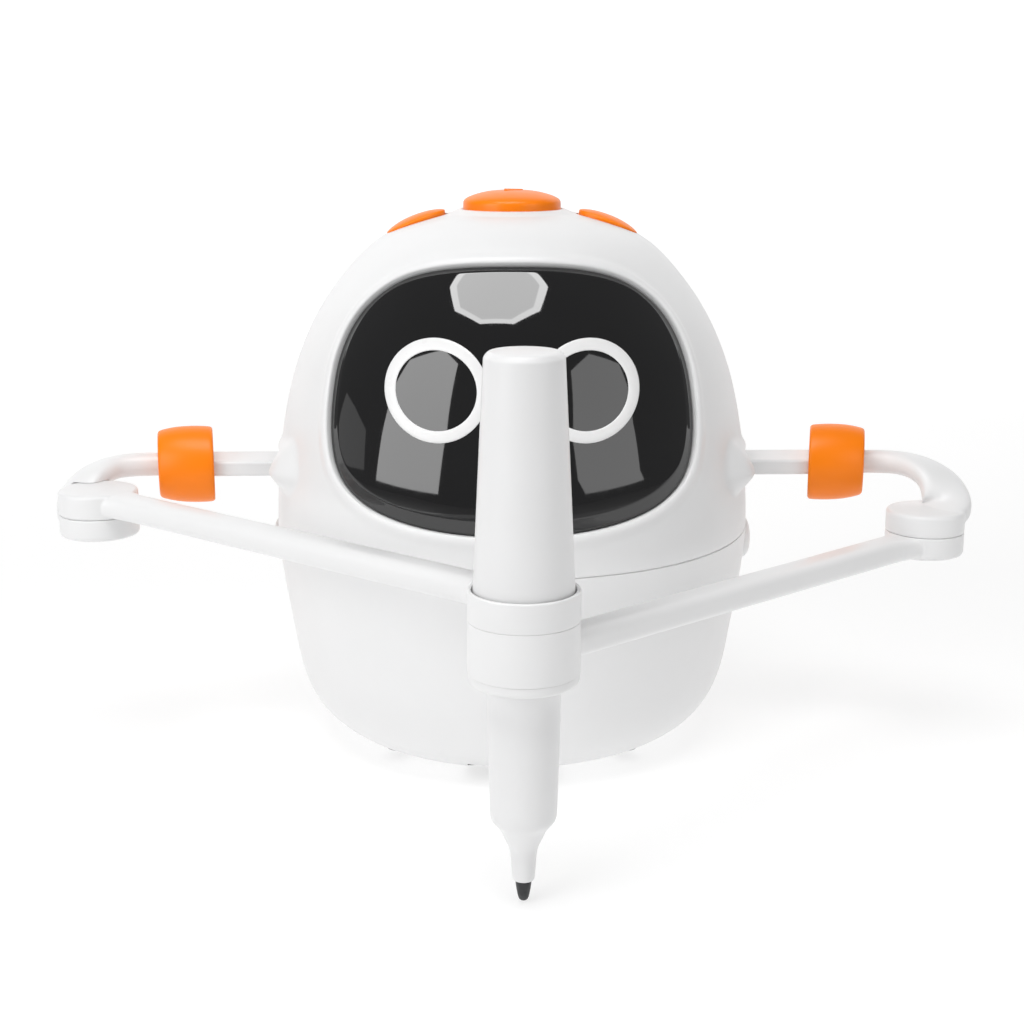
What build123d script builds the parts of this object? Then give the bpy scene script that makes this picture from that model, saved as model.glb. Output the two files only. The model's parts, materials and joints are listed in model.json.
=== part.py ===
# Desktop drawing robot: an egg-shaped body on rubber feet, with two jointed arms
# that meet at a pen holder in front of it (a five-bar linkage on a lifting carriage).
# Millimetres, +Z up, the robot faces -Y. Origin: centre of the body on the table.
from build123d import *
import math
import os

os.makedirs("parts", exist_ok=True)

# ------------------------------------------------------------------ driving dimensions
WALL = 2.4                 # moulded shell thickness
BODY_TOP = 146.2           # top of the dome
SEAM_Z = 60.0              # joint between base shell and head shell
FOOT_H = 1.2               # the feet stand this far below the base shell
# outer profile of the body, (radius, height) from the flat underside to the dome
PROFILE = [(38.0, 1.2), (45.5, 2.4), (51.2, 5.6), (55.6, 10.0), (58.6, 15.5), (60.3, 21.0),
           (61.9, 30.0), (63.5, 40.0), (64.9, 50.0), (65.6, 60.0), (65.3, 70.0), (64.4, 80.0),
           (62.9, 90.0), (60.7, 100.0), (57.3, 110.0), (52.3, 120.0), (45.0, 130.0),
           (36.6, 138.0), (26.5, 142.7), (18.0, 144.8), (9.0, 145.9), (0.0, 146.2)]
# outline of the face window seen from the front, (half width, height)
VISOR = [(21.1, 72.3), (31.1, 74.2), (37.2, 76.4), (41.0, 78.8), (43.6, 81.4), (45.1, 84.1),
         (46.0, 87.0), (46.5, 90.0), (46.75, 93.5), (46.7, 97.0), (46.4, 101.0), (46.0, 104.5),
         (45.3, 108.5), (44.3, 112.0), (42.8, 115.8), (40.9, 119.3), (38.3, 122.8),
         (34.6, 126.4), (29.4, 129.9), (21.8, 132.7), (12.0, 134.2)]
VISOR_BOTTOM, VISOR_TOP = 71.2, 134.6
VISOR_GROW = 0.7           # the window opening is this much larger all round
LENS_RECESS, LENS_T = 0.5, 2.0
EYE_X, EYE_Z = 18.9, 105.6            # eye centres
EYE_A, EYE_B, EYE_W = 12.65, 12.15, 2.45   # half width, half height, ring width

BTN_R, BTN_HOLE = 13.25, 0.30         # main button radius and its clearance
SIDE_BTN = (26.0, -1.0, 143.15)       # side button centre on the shell
SIDE_BTN_TILT = 19.5                  # its normal leans outwards by this angle
SIDE_BTN_A, SIDE_BTN_B = 8.5, 5.6

SHOULDER = (40.0, -2.0)               # shoulder axis (+-X, Y)
ELBOW_REL = (71.35, -21.2)            # shoulder to elbow with both arms symmetric
ARM_TURN = 1.8                        # both upper arms stand turned by this angle
FOREARM = 146.2                       # elbow axis to pen axis
BAR_Z, BAR_T, BAR_W = 76.4, 4.2, 14.4 # flat shoulder bar
BAR_DY = -2.0                         # bar centreline, ahead of the shoulder axis
CUFF_X0, CUFF_X1 = 83.4, 97.6
DISC_R = 10.5
LEVEL_A = (55.2, 61.4)                # lower elbow disc, right forearm
LEVEL_B = (61.6, 67.45)               # upper arm discs
LEVEL_C = (67.65, 74.0)               # upper elbow disc, left forearm
PIN_R, PIN_FIT = 3.0, 0.05
FORE_W, FORE_H, FORE_RND = 9.0, 6.5, 2.5
FORE_L_Z, FORE_R_Z = 70.8, 58.6

RING_R = 12.35                        # pen holder outer radius
RING1 = (66.75, 73.35)                # left forearm ring
RING2 = (54.95, 66.55)                # right forearm ring, the opened pivot
RING3 = (52.4, 54.75)                 # retaining ring
SLEEVE_RO, SLEEVE_RI = 9.1, 8.25
RING2_RI = 11.2                       # clearance of the opened pivot: 2.1 mm
LIFT = 4.0                            # pen lift of the carriage
PEN_TIP, PEN_TOP = 0.5, 124.6

SLOT_Y = (-23.2, 9.0)                 # shoulder slot in the head shell
SLOT_Z = (73.2, 83.6)

ROD_Y, ROD_R = 26.0, 2.0
LEG_R, LEG_ANG = 44.0, 45
CAM_Z = 54.0


# ------------------------------------------------------------------ helpers
def save(shape, name):
    shape.label = name
    export_step(shape, os.path.join("parts", name + ".step"))


def box(x0, x1, y0, y1, z0, z1):
    return Pos((x0 + x1) / 2, (y0 + y1) / 2, (z0 + z1) / 2) * Box(x1 - x0, y1 - y0, z1 - z0)


def cyl(x, y, r, z0, z1):
    return Pos(x, y, (z0 + z1) / 2) * Cylinder(r, z1 - z0)


def cyl_y(x, z, r, y0, y1):
    return Pos(x, (y0 + y1) / 2, z) * Rot(90, 0, 0) * Cylinder(r, y1 - y0)


def cyl_x(y, z, r, x0, x1):
    return Pos((x0 + x1) / 2, y, z) * Rot(0, 90, 0) * Cylinder(r, x1 - x0)


def turn(points, x=0, y=0):
    """Solid of revolution about the vertical through (x, y) from a closed (r, z) polygon."""
    f = make_face(Polyline([(r, 0, z) for r, z in points], close=True))
    return Pos(x, y, 0) * revolve(f, Axis.Z, 360)


def turn_spline(r_z, z_close=None, x=0, y=0):
    """Solid of revolution whose outer side is a smooth curve through (r, z) points."""
    s = Spline([(r, 0, z) for r, z in r_z])
    a, b = r_z[0], r_z[-1]
    lines = [s, Line((b[0], 0, b[1]), (0, 0, b[1])), Line((0, 0, b[1]), (0, 0, a[1])),
             Line((0, 0, a[1]), (a[0], 0, a[1]))]
    return Pos(x, y, 0) * revolve(make_face(lines), Axis.Z, 360)


def profile(off):
    """Body profile moved inwards by off."""
    pts, n = [], len(PROFILE)
    for i, (r, z) in enumerate(PROFILE):
        if i == 0:
            nr, nz = 0.0, 1.0
        elif i == n - 1:
            nr, nz = 0.0, -1.0
        else:
            dr = PROFILE[i + 1][0] - PROFILE[i - 1][0]
            dz = PROFILE[i + 1][1] - PROFILE[i - 1][1]
            d = math.hypot(dr, dz)
            nr, nz = -dz / d, dr / d
        pts.append((r + nr * off, z + nz * off))
    pts[-1] = (0.0, pts[-1][1])
    return pts


def body(off):
    """The whole egg, its surface moved inwards by off."""
    p = profile(off)
    s = Spline([(r, 0, z) for r, z in p])
    lines = [s, Line((0, 0, p[-1][1]), (0, 0, p[0][1])), Line((0, 0, p[0][1]), (p[0][0], 0, p[0][1]))]
    return revolve(make_face(lines), Axis.Z, 360)


def visor_prism(off, y0=-90.0, y1=-18.0):
    """Prism along Y with the face window's outline, moved outwards by off."""
    right = [(x, z) for x, z in VISOR]
    loop = [(0.0, VISOR_BOTTOM)] + right + [(0.0, VISOR_TOP)] + [(-x, z) for x, z in reversed(right)]
    n = len(loop)
    pts = []
    for i, (x, z) in enumerate(loop):
        ax, az = loop[i - 1]
        bx, bz = loop[(i + 1) % n]
        dx, dz = bx - ax, bz - az
        d = math.hypot(dx, dz)
        pts.append((x + dz / d * off, y0, z - dx / d * off))
    f = make_face(Spline(pts, periodic=True))
    return extrude(f, amount=y1 - y0, dir=(0, 1, 0))


def ellipse_prism(cx, cz, a, b, y0=-80.0, y1=-30.0):
    e = Plane(origin=(cx, y0, cz), x_dir=(1, 0, 0), z_dir=(0, 1, 0)) * Ellipse(a, b)
    return extrude(e, amount=y1 - y0, dir=(0, 1, 0))


def soften(shape, edges, r):
    """Round the given edges, with a smaller radius if the shape leaves less room."""
    for k in (1.0, 0.7, 0.45, 0.25):
        try:
            out = fillet(edges, r * k)
            if out.is_valid:
                return out
        except Exception:
            pass
    return shape


def both(shape):
    return shape, mirror(shape, Plane.YZ)


def solid_of(shape):
    s = shape.solids()
    return max(s, key=lambda q: q.volume) if len(s) > 1 else s[0]


# ------------------------------------------------------------------ body shells
outer = body(0)
inner = body(WALL)
below = box(-90, 90, -90, 90, -5, SEAM_Z)
above = box(-90, 90, -90, 90, SEAM_Z, 170)

groove = turn([(64.9, SEAM_Z), (66.4, SEAM_Z - 0.75), (66.4, SEAM_Z + 0.75)])

# ---- head shell
head = (outer & above) - inner
# side collars that the arms come out of
boss = extrude(Plane(origin=(67.2, (SLOT_Y[0] + SLOT_Y[1]) / 2, 77.6), x_dir=(0, 1, 0), z_dir=(-1, 0, 0))
               * RectangleRounded(SLOT_Y[1] - SLOT_Y[0] + 5.0, 16.6, 5.0), amount=11, taper=-16)
boss = soften(boss, boss.faces().sort_by(Axis.X)[-1].edges(), 1.6)
boss_r, boss_l = both(boss)
collar_keep = box(-80, 80, -60, 60, SEAM_Z + 2, 100) - body(1.2)
head = head + (boss_r & collar_keep) + (boss_l & collar_keep)
slot = extrude(Plane(origin=(50, (SLOT_Y[0] + SLOT_Y[1]) / 2, (SLOT_Z[0] + SLOT_Z[1]) / 2), x_dir=(0, 1, 0),
                     z_dir=(1, 0, 0)) * RectangleRounded(SLOT_Y[1] - SLOT_Y[0], SLOT_Z[1] - SLOT_Z[0], 3.0),
               amount=30)
slot_r, slot_l = both(slot)
head = head - slot_r - slot_l
head = head - visor_prism(VISOR_GROW)
head = head - cyl(0, 0, BTN_R + BTN_HOLE, 130, 160)
sb_plane = Plane(origin=SIDE_BTN, x_dir=(math.cos(math.radians(SIDE_BTN_TILT)), 0, -math.sin(math.radians(SIDE_BTN_TILT))),
                 z_dir=(math.sin(math.radians(SIDE_BTN_TILT)), 0, math.cos(math.radians(SIDE_BTN_TILT))))
sb_hole = extrude(sb_plane * Ellipse(SIDE_BTN_A + 0.3, SIDE_BTN_B + 0.3), amount=8, both=True)
hole_r, hole_l = both(sb_hole)
head = head - hole_r - hole_l
# sound slots at the back of the head
for i in range(-3, 4):
    h = 20.0 - 1.6 * abs(i) ** 1.5
    g = extrude(Plane(origin=(i * 4.2, 40, 96), x_dir=(1, 0, 0), z_dir=(0, 1, 0)) * SlotOverall(h, 1.8, rotation=90), amount=30)
    head = head - g
head = head - groove
head = solid_of(head)
save(head, "head_shell")

# ---- base shell
base = (outer & below) - inner
tongue = turn([(62.0, 62.0), (62.0, 55.5), (63.9, 55.5), (63.9, 59.9), (63.05, 59.9), (63.05, 62.0)])
base = base + tongue
legs_xy = [(LEG_R * math.cos(math.radians(LEG_ANG + 90 * k)), LEG_R * math.sin(math.radians(LEG_ANG + 90 * k)))
           for k in range(4)]
for x, y in legs_xy:
    base = base + (cyl(x, y, 5.0, 1.5, 9.0) & body(0.6))
cover_xy = [(33.9 * math.cos(math.radians(a)), 33.9 * math.sin(math.radians(a))) for a in (0, 120, 240)]
for x, y in cover_xy:
    base = base + (cyl(x, y, 3.2, 2.7, 9.0))
io_pad = box(-24, 24, 53.6, 70, 12, 29) & body(1.0)
base = base + io_pad
base = base - cyl(0, 0, 36.2, 0, 2.75) - cyl(0, 0, 30.5, 0, 4.0)
# shallow recess at the front edge for the card reader window
base = base - box(-12, 12, -70, -38, 0, 4.4) - box(-11.75, 11.75, -48.65, -38, 4, 6.05)
for x, y in legs_xy:
    base = base - cyl(x, y, 3.2, 0, 4.4) - cyl(x, y, 1.7, 4, 12)
for x, y in cover_xy:
    base = base - cyl(x, y, 1.1, 2, 8)
# pockets at the back for the charging port and the power switch
base = base - box(-19.5, -8.5, 57.0, 70, 16.2, 23.8) - box(8.0, 20.0, 57.0, 70, 15.7, 24.3)
base = base - box(-18.6, -9.4, 50, 60, 18.3, 21.7) - box(10.2, 17.8, 50, 60, 18.4, 21.6)
# round seats for the side caps
for s in (-1, 1):
    base = base - cyl_x(0, 54.2, 5.95, s * 63.9 if s > 0 else -72, 72 if s > 0 else -63.9)
base = base - groove
base = solid_of(base)
save(base, "base_shell")

cap = turn_spline([(5.8, 0.0), (5.8, 1.2), (5.6, 2.0), (4.8, 2.75), (3.2, 3.3), (1.4, 3.5), (0.01, 3.52)])
cap = Pos(63.9, 0, 54.2) * Rot(0, 90, 0) * cap
cap_r, cap_l = both(cap)
save(cap_r, "right_side_cap")
save(cap_l, "left_side_cap")

bottom = cyl(0, 0, 36.0, 1.2, 2.7)
bottom = soften(bottom, bottom.faces().sort_by(Axis.Z)[0].edges(), 0.4)
bottom = bottom + cyl(0, 0, 29.0, 2.7, 3.9)
# four feet and one pad of the same height in the middle
feet_xy = [(29.0 * math.cos(math.radians(45 + 90 * k)), 29.0 * math.sin(math.radians(45 + 90 * k))) for k in range(4)]
feet_xy.append((0.0, 0.0))
for x, y in feet_xy:
    bottom = bottom - cyl(x, y, 5.1, 0, 2.0)
for x, y in cover_xy:
    bottom = bottom - cyl(x, y, 1.3, 0, 5) - Pos(x, y, 1.65) * Cylinder(2.4, 1.1)
save(solid_of(bottom), "bottom_cover")

foot_parts = []
for x, y in feet_xy:
    f = cyl(x, y, 5.0, 0, 2.0)
    foot_parts.append(soften(f, f.faces().sort_by(Axis.Z)[0].edges(), 0.6))
save(Compound(children=foot_parts), "rubber_feet")


def screw(x, y, z_head, r_head, h_head, r_shank, z_end, up=True):
    """Pan head screw, its head's outer face at z_head; the shank runs up or down to z_end."""
    d = 1 if up else -1
    s = cyl(x, y, r_head, min(z_head, z_head + d * h_head), max(z_head, z_head + d * h_head))
    s = s + cyl(x, y, r_shank, min(z_head + d * h_head * 0.5, z_end), max(z_head + d * h_head * 0.5, z_end))
    c1 = Pos(x, y, z_head) * Box(r_head * 1.2, r_head * 0.3, h_head * 0.9)
    c2 = Pos(x, y, z_head) * Box(r_head * 0.3, r_head * 1.2, h_head * 0.9)
    return s - c1 - c2


save(Compound(children=[screw(x, y, 1.25, 2.2, 0.9, 1.05, 7.5) for x, y in cover_xy]), "cover_screws")
save(Compound(children=[screw(x, y, 2.6, 2.9, 1.8, 1.45, 16.0) for x, y in legs_xy]), "frame_screws")

# ------------------------------------------------------------------ face
lens = (body(LENS_RECESS) - body(LENS_RECESS + LENS_T)) & visor_prism(VISOR_GROW - 0.22)
ring_band = body(LENS_RECESS - 0.05) - body(LENS_RECESS + 1.0)
eye_rings = []
for s in (-1, 1):
    ann = ellipse_prism(s * EYE_X, EYE_Z, EYE_A, EYE_B) - ellipse_prism(s * EYE_X, EYE_Z, EYE_A - EYE_W, EYE_B - EYE_W)
    fr = box(-60, 60, -80, -20, 60, 140)
    eye_rings.append(solid_of(ring_band & ann & fr))
    cut = ellipse_prism(s * EYE_X, EYE_Z, EYE_A + 0.04, EYE_B + 0.04) - ellipse_prism(
        s * EYE_X, EYE_Z, EYE_A - EYE_W - 0.04, EYE_B - EYE_W - 0.04)
    lens = lens - (cut & (body(LENS_RECESS - 0.3) - body(LENS_RECESS + 1.02)))
lens = solid_of(lens)
save(lens, "visor_lens")
save(eye_rings[0], "left_eye_ring")
save(eye_rings[1], "right_eye_ring")

bezel = (body(LENS_RECESS + LENS_T + 0.05) - body(LENS_RECESS + LENS_T + 1.55)) & visor_prism(VISOR_GROW + 3.0)
bezel = bezel - visor_prism(VISOR_GROW - 3.2)
save(solid_of(bezel), "visor_bezel")

# the face board, its plane just behind the window, and a light tube for each eye
board_y = -38.0
face_board = box(-31, 31, board_y, board_y + 1.6, 87, 119.5)
for x in (-28.5, 28.5):
    for z in (89.5, 117):
        face_board = face_board - cyl_y(x, z, 1.2, board_y - 1, board_y + 3)
face_board = solid_of(face_board)
tubes = []
for s in (-1, 1):
    t = ellipse_prism(s * EYE_X, EYE_Z, 12.2, 11.9, -80, board_y - 0.1) - ellipse_prism(s * EYE_X, EYE_Z, 10.9, 10.6, -80, board_y)
    tubes.append(solid_of(t & body(LENS_RECESS + LENS_T + 0.15)))
save(tubes[0], "left_eye_light_tube")
save(tubes[1], "right_eye_light_tube")
leds = []
for s in (-1, 1):
    for k in range(8):
        a = math.radians(45 * k + 22.5)
        x, z = s * EYE_X + 8.6 * math.cos(a), EYE_Z + 8.4 * math.sin(a)
        leds.append(box(x - 1.25, x + 1.25, board_y - 0.9, board_y, z - 1.25, z + 1.25))
save(Compound(children=[face_board] + leds), "face_board")

# ------------------------------------------------------------------ buttons on the dome
btn = turn_spline([(BTN_R, 142.0), (BTN_R, 145.0), (BTN_R, 147.6), (BTN_R - 0.35, 149.1), (BTN_R - 1.6, 150.2),
                   (BTN_R - 4.2, 150.9), (6.0, 151.25), (0.01, 151.4)])
btn = btn + cyl(0, 0, BTN_R, 140.6, 142.2) + cyl(0, 0, 14.4, 139.7, 141.2) + cyl(0, 0, 3.0, 138.2, 140)
# a simple embossed play mark
mark = extrude(Plane.XY.offset(148) * Polygon((-2.6, -3.4), (-2.6, 3.4), (3.6, 0), align=None), amount=3.9)
btn = btn + (mark - cyl(0, 0, 20, 140, 149))
save(solid_of(btn), "start_button")

sbf = extrude(sb_plane.offset(-5.5) * Ellipse(SIDE_BTN_A, SIDE_BTN_B), amount=7.0)
sbf = soften(sbf, [e for e in sbf.edges() if sb_plane.to_local_coords(e.center()).Z > 1.0], 1.1)
sbf = sbf + extrude(sb_plane.offset(-6.5) * Ellipse(SIDE_BTN_A + 0.8, SIDE_BTN_B + 1.0), amount=1.2)
sbf = sbf + extrude(sb_plane.offset(-8.0) * Circle(2.0), amount=2.0)
sb_r, sb_l = both(solid_of(sbf))
save(sb_r, "right_button")
save(sb_l, "left_button")

btn_board = (box(-30, 30, -9, 9, 131.0, 132.6)) & body(WALL + 1.0)
sw = [box(-3, 3, -3, 3, 132.6, 135.6) + cyl(0, 0, 1.6, 135.6, 136.7)]
for s in (-1, 1):
    sw.append(box(s * 23.3 - 2, s * 23.3 + 2, -3, 1, 132.6, 133.6) + cyl(s * 23.3, -1, 0.9, 133.6, 134.1))
save(Compound(children=[solid_of(btn_board)] + [solid_of(q) for q in sw]), "button_board")

# ------------------------------------------------------------------ internal frame
frame = cyl(0, 0, 57.5, 34.0, 36.5) - cyl(0, 38, 7, 30, 40) - cyl(0, -42, 6, 30, 40)
for x, y in legs_xy:
    frame = frame + cyl(x, y, 4.0, 9.0, 34.5)
for x in (-29, 29):
    for y in (-22, 22):
        frame = frame + cyl(x, y, 2.6, 25.6, 34.5)
for y in (-ROD_Y, ROD_Y):
    frame = frame + cyl(0, y, 4.5, 30.0, 42.0)
frame = frame + box(-17.5, 8.5, -1.5, 21.5, 36, 47.9)
frame = frame - box(-13, 4, 2, 18, 38, 49)
for x, y in legs_xy:
    frame = frame - cyl(x, y, 1.45, 8.5, 16.5)
for y in (-ROD_Y, ROD_Y):
    frame = frame - cyl(0, y, ROD_R, 32.0, 43)
save(solid_of(frame), "main_frame")

rods = [cyl(0, y, ROD_R, 32.0, 87.0) for y in (-ROD_Y, ROD_Y)]
save(Compound(children=rods), "guide_rods")
tie = box(-6.5, 6.5, -31, 31, 84.0, 87.0) - cyl(0, -ROD_Y, ROD_R, 80, 90) - cyl(0, ROD_Y, ROD_R, 80, 90)
save(solid_of(tie), "rod_tie")

board = box(-32, 32, -25, 25, 24.0, 25.6)
chips = [box(-9, 5, -8, 6, 25.6, 27.2), box(12, 20, -14, -6, 25.6, 26.8), box(-26, -16, 6, 14, 25.6, 29.0),
         box(10, 22, 8, 13, 25.6, 31.0)]
save(Compound(children=[solid_of(board)] + chips), "main_board")

tray = box(-29, 29, -16, 24, 3.95, 14.0) - box(-27.4, 27.4, -14.4, 22.4, 5.25, 15)
save(solid_of(tray), "battery_tray")
cells = [cyl_x(y, 14.3, 9.0, -27, 27) for y in (-5.2, 13.0)]
cells = [soften(c, c.edges(), 0.8) for c in cells]
save(Compound(children=cells), "battery_cells")

spk = cyl_y(0, 96, 17, 43.3, 51.0) + cyl_y(0, 96, 11, 38.6, 43.5)
spk = spk - cyl_y(0, 96, 14.5, 49.6, 53)
save(solid_of(spk), "speaker")

usb = box(-18.4, -9.6, 52.2, 59.0, 18.5, 21.5) - box(-17.9, -10.1, 53.6, 60, 18.9, 21.1) + box(-17.0, -11.0, 53.4, 57.4, 19.7, 20.3)
save(solid_of(usb), "charging_port")
switch_body = box(9.0, 19.0, 49.8, 52.6, 17.0, 23.0)
save(switch_body, "power_switch_body")
slider = box(10.5, 14.3, 52.7, 58.9, 18.7, 21.3)
for k in range(3):
    slider = slider - box(11.2 + k * 1.05, 11.6 + k * 1.05, 58.5, 60, 18, 22)
save(solid_of(slider), "power_switch_knob")

window = box(-11.7, 11.7, -48.6, -38.4, 4.45, 6.0)
save(window, "card_reader_window")


def servo(cx, cy, z_top):
    """Small servo with its output shaft up at (cx, cy); the case reaches towards the middle."""
    s = -1 if cx > 0 else 1
    x0, x1 = sorted((cx - s * 6.2, cx + s * 17.0))
    b = box(x0, x1, cy - 6.1, cy + 6.1, z_top - 20.4, z_top)
    b = b + box(x0 - 4.6, x1 + 4.6, cy - 6.1, cy + 6.1, z_top - 2.5, z_top)
    b = b + cyl(cx, cy, 5.9, z_top - 1, z_top + 3.6)
    b = b - cyl(cx, cy, 2.4 + PIN_FIT, z_top - 5, z_top + 5)
    return b, (x0 - 2.4, x1 + 2.4)


# ------------------------------------------------------------------ lifting carriage
PLATE = (66.0, 68.6)
servos, servo_screws, plate_cuts = {}, [], []
for side, s in (("left", -1), ("right", 1)):
    b, ears = servo(s * SHOULDER[0], SHOULDER[1], PLATE[0] - 0.05)
    for ex in ears:
        b = b - cyl(ex, SHOULDER[1], 1.0, 60, 70)
        plate_cuts.append(cyl(ex, SHOULDER[1], 1.0, 60, 70))
        servo_screws.append(screw(ex, SHOULDER[1], 61.6, 1.9, 1.2, 0.95, 68.4))
    servos[side] = solid_of(b)
    save(servos[side], side + "_shoulder_servo")
plate = box(-56, 56, -13, 11, *PLATE) + box(-13, 13, -31, 31, *PLATE)
plate = plate - box(-70, 70, 70, 90, 0, 1)
plate = plate + box(-3.0, 3.0, -8.2, -5.8, 60.35, 66.5)
for s in (-1, 1):
    plate = plate - cyl(s * SHOULDER[0], SHOULDER[1], 6.0, 60, 70)
for c in plate_cuts:
    plate = plate - c
for y in (-ROD_Y, ROD_Y):
    plate = plate + cyl(0, y, 5.0, 62.0, 72.0) - cyl(0, y, 3.2, 61, 73)
save(solid_of(plate), "carriage_plate")
save(Compound(children=servo_screws), "servo_screws")
bushes = [solid_of(cyl(0, y, 3.2, 62.0, 72.0) - cyl(0, y, ROD_R + 0.04, 61, 73)) for y in (-ROD_Y, ROD_Y)]
save(Compound(children=bushes), "guide_bushes")

# lift servo lies on its side behind the cam
lift = box(-16.5, 6.5, -1.0, 21.0, 48.0, 60.2) + cyl_y(0, CAM_Z, 5.6, -3.4, 0)
lift = lift - cyl_y(0, CAM_Z, 2.4 + PIN_FIT, -5, 5)
save(solid_of(lift), "lift_servo")


def cam_r(deg):
    """Radius of the snail cam: it rises evenly by the lift over half a turn."""
    d = deg % 360
    if d <= 186:
        return 6.0 + LIFT * d / 180
    top = 6.0 + LIFT * 186 / 180
    if d <= 200:
        return top
    if d <= 335:
        return 6.0 + (top - 6.0) * 0.5 * (1 + math.cos(math.pi * (d - 200) / 135))
    return 6.0


# the angle runs from the top towards -X
cam_pts = []
for k in range(120):
    d = 3.0 * k
    a = math.radians(d)
    cam_pts.append((-cam_r(d) * math.sin(a), -5.6, CAM_Z + cam_r(d) * math.cos(a)))
cam = extrude(make_face(Polyline(cam_pts, close=True)), amount=3.0, dir=(0, -1, 0))
cam = cam - cyl_y(0, CAM_Z, 2.4, -10, 0)
save(solid_of(cam), "lift_cam")
save(solid_of(cyl_y(0, CAM_Z, 2.4, -8.6, 4.5)), "lift_servo_shaft")

# ------------------------------------------------------------------ upper arms
SX, SY = SHOULDER
EX, EY = SX + ELBOW_REL[0], SY + ELBOW_REL[1]
BY = SY + BAR_DY


def right_upper():
    """Right upper arm pieces with the arm in its symmetric position."""
    bar = cyl(SX, SY, 9.2, BAR_Z - BAR_T / 2, BAR_Z + BAR_T / 2)
    bar = bar + box(SX, 90.0, BY - BAR_W / 2, BY + BAR_W / 2, BAR_Z - BAR_T / 2, BAR_Z + BAR_T / 2)
    long_edges = [e for e in bar.edges() if e.length > 30 and abs(e.center().Z - BAR_Z) > 1.5]
    bar = soften(bar, long_edges, 0.8)
    bar = bar - cyl(SX, SY, 2.4, 70, 76.6) - cyl(SX, SY, 1.25, 70, 85)
    shaft = cyl(SX, SY, 2.4, 61.5, 76.6) - cyl(SX, SY, 1.0, 70.5, 80)
    scr = screw(SX, SY, BAR_Z + BAR_T / 2 + 1.6, 3.0, 1.6, 1.0, 71.0, up=False)
    # orange cuff: a barrel that narrows towards its outer end
    half = [(10.0, CUFF_X0), (10.55, CUFF_X0 + 0.75), (10.62, CUFF_X0 + 4.0), (10.4, CUFF_X0 + 8.0), (9.95, CUFF_X0 + 10.9),
            (9.4, CUFF_X1 - 1.2), (9.0, CUFF_X1 - 0.35), (8.4, CUFF_X1)]
    prof = [Spline([(x, r, 0) for r, x in half]),
            Line((CUFF_X1, 8.4, 0), (CUFF_X1, 0, 0)), Line((CUFF_X1, 0, 0), (CUFF_X0, 0, 0)), Line((CUFF_X0, 0, 0), (CUFF_X0, 10.0, 0))]
    cuff = Pos(0, BY, BAR_Z) * revolve(make_face(prof), Axis.X, 360)
    cuff = cuff - box(CUFF_X0 - 1, 90.0, BY - BAR_W / 2, BY + BAR_W / 2, BAR_Z - BAR_T / 2, BAR_Z + BAR_T / 2)
    cuff = cuff - cyl_x(BY, BAR_Z, 3.2, 91.5, 110)
    # hooked arm: sections (x, y, z, plan width, height)
    st = [(91.5, BY, BAR_Z, 6.4, 6.4), (99.5, BY - 0.05, BAR_Z, 6.4, 6.4), (107.0, BY - 1.0, BAR_Z - 0.1, 6.9, 6.4),
          (113.3, BY - 4.0, BAR_Z - 1.2, 8.4, 6.4), (117.4, BY - 8.4, BAR_Z - 3.6, 10.2, 6.2),
          (119.3, BY - 13.4, BAR_Z - 7.2, 11.2, 6.0), (118.3, BY - 17.8, BAR_Z - 10.6, 11.6, 5.8),
          (114.6, BY - 19.6, BAR_Z - 11.8, 11.6, 5.7)]
    secs = []
    for i, (x, y, z, w, h) in enumerate(st):
        a = st[max(i - 1, 0)]
        b = st[min(i + 1, len(st) - 1)]
        dx, dy = b[0] - a[0], b[1] - a[1]
        dz = (b[2] - a[2]) * 0.55
        d = math.sqrt(dx * dx + dy * dy + dz * dz)
        t = (dx / d, dy / d, dz / d)
        hx = math.hypot(t[0], t[1])
        secs.append(Plane(origin=(x, y, z), x_dir=(t[1] / hx, -t[0] / hx, 0), z_dir=t) * Ellipse(w / 2, h / 2))
    hook = loft(secs)
    return bar, shaft, scr, cuff, solid_of(hook)


bar, shaft, hub_scr, cuff, hook = right_upper()
cuff = cuff - hook
hook = hook & box(80, 140, -60, 20, LEVEL_B[0], 90)
disc = cyl(EX, EY, DISC_R, *LEVEL_B)
disc_top = soften(disc, disc.faces().sort_by(Axis.Z)[-1].edges(), 1.2)
right_hook = disc_top + hook
left_hook = mirror(disc + (hook - cyl(EX, EY, DISC_R + 0.45, LEVEL_B[1], 90)), Plane.YZ)
# pin bores
right_hook = right_hook - cyl(EX, EY, PIN_R, 50, LEVEL_B[1] - 1.3)
left_hook = left_hook - cyl(-EX, EY, PIN_R, LEVEL_B[0] + 1.3, 90)


def place(shape, side):
    sx = SX if side == "right" else -SX
    return Pos(sx, SY, 0) * Rot(0, 0, ARM_TURN) * Pos(-sx, -SY, 0) * shape


for side in ("right", "left"):
    m = (lambda q: q) if side == "right" else (lambda q: mirror(q, Plane.YZ))
    save(place(solid_of(m(bar)), side), side + "_shoulder_bar")
    save(place(m(shaft), side), side + "_servo_shaft")
    save(place(m(hub_scr), side), side + "_hub_screw")
    save(place(solid_of(m(cuff)), side), side + "_arm_cuff")
save(place(solid_of(right_hook), "right"), "right_upper_arm")
save(place(solid_of(left_hook), "left"), "left_upper_arm")


def turned(x, y, cx, cy):
    a = math.radians(ARM_TURN)
    return (cx + math.cos(a) * (x - cx) - math.sin(a) * (y - cy), cy + math.sin(a) * (x - cx) + math.cos(a) * (y - cy))


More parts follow.
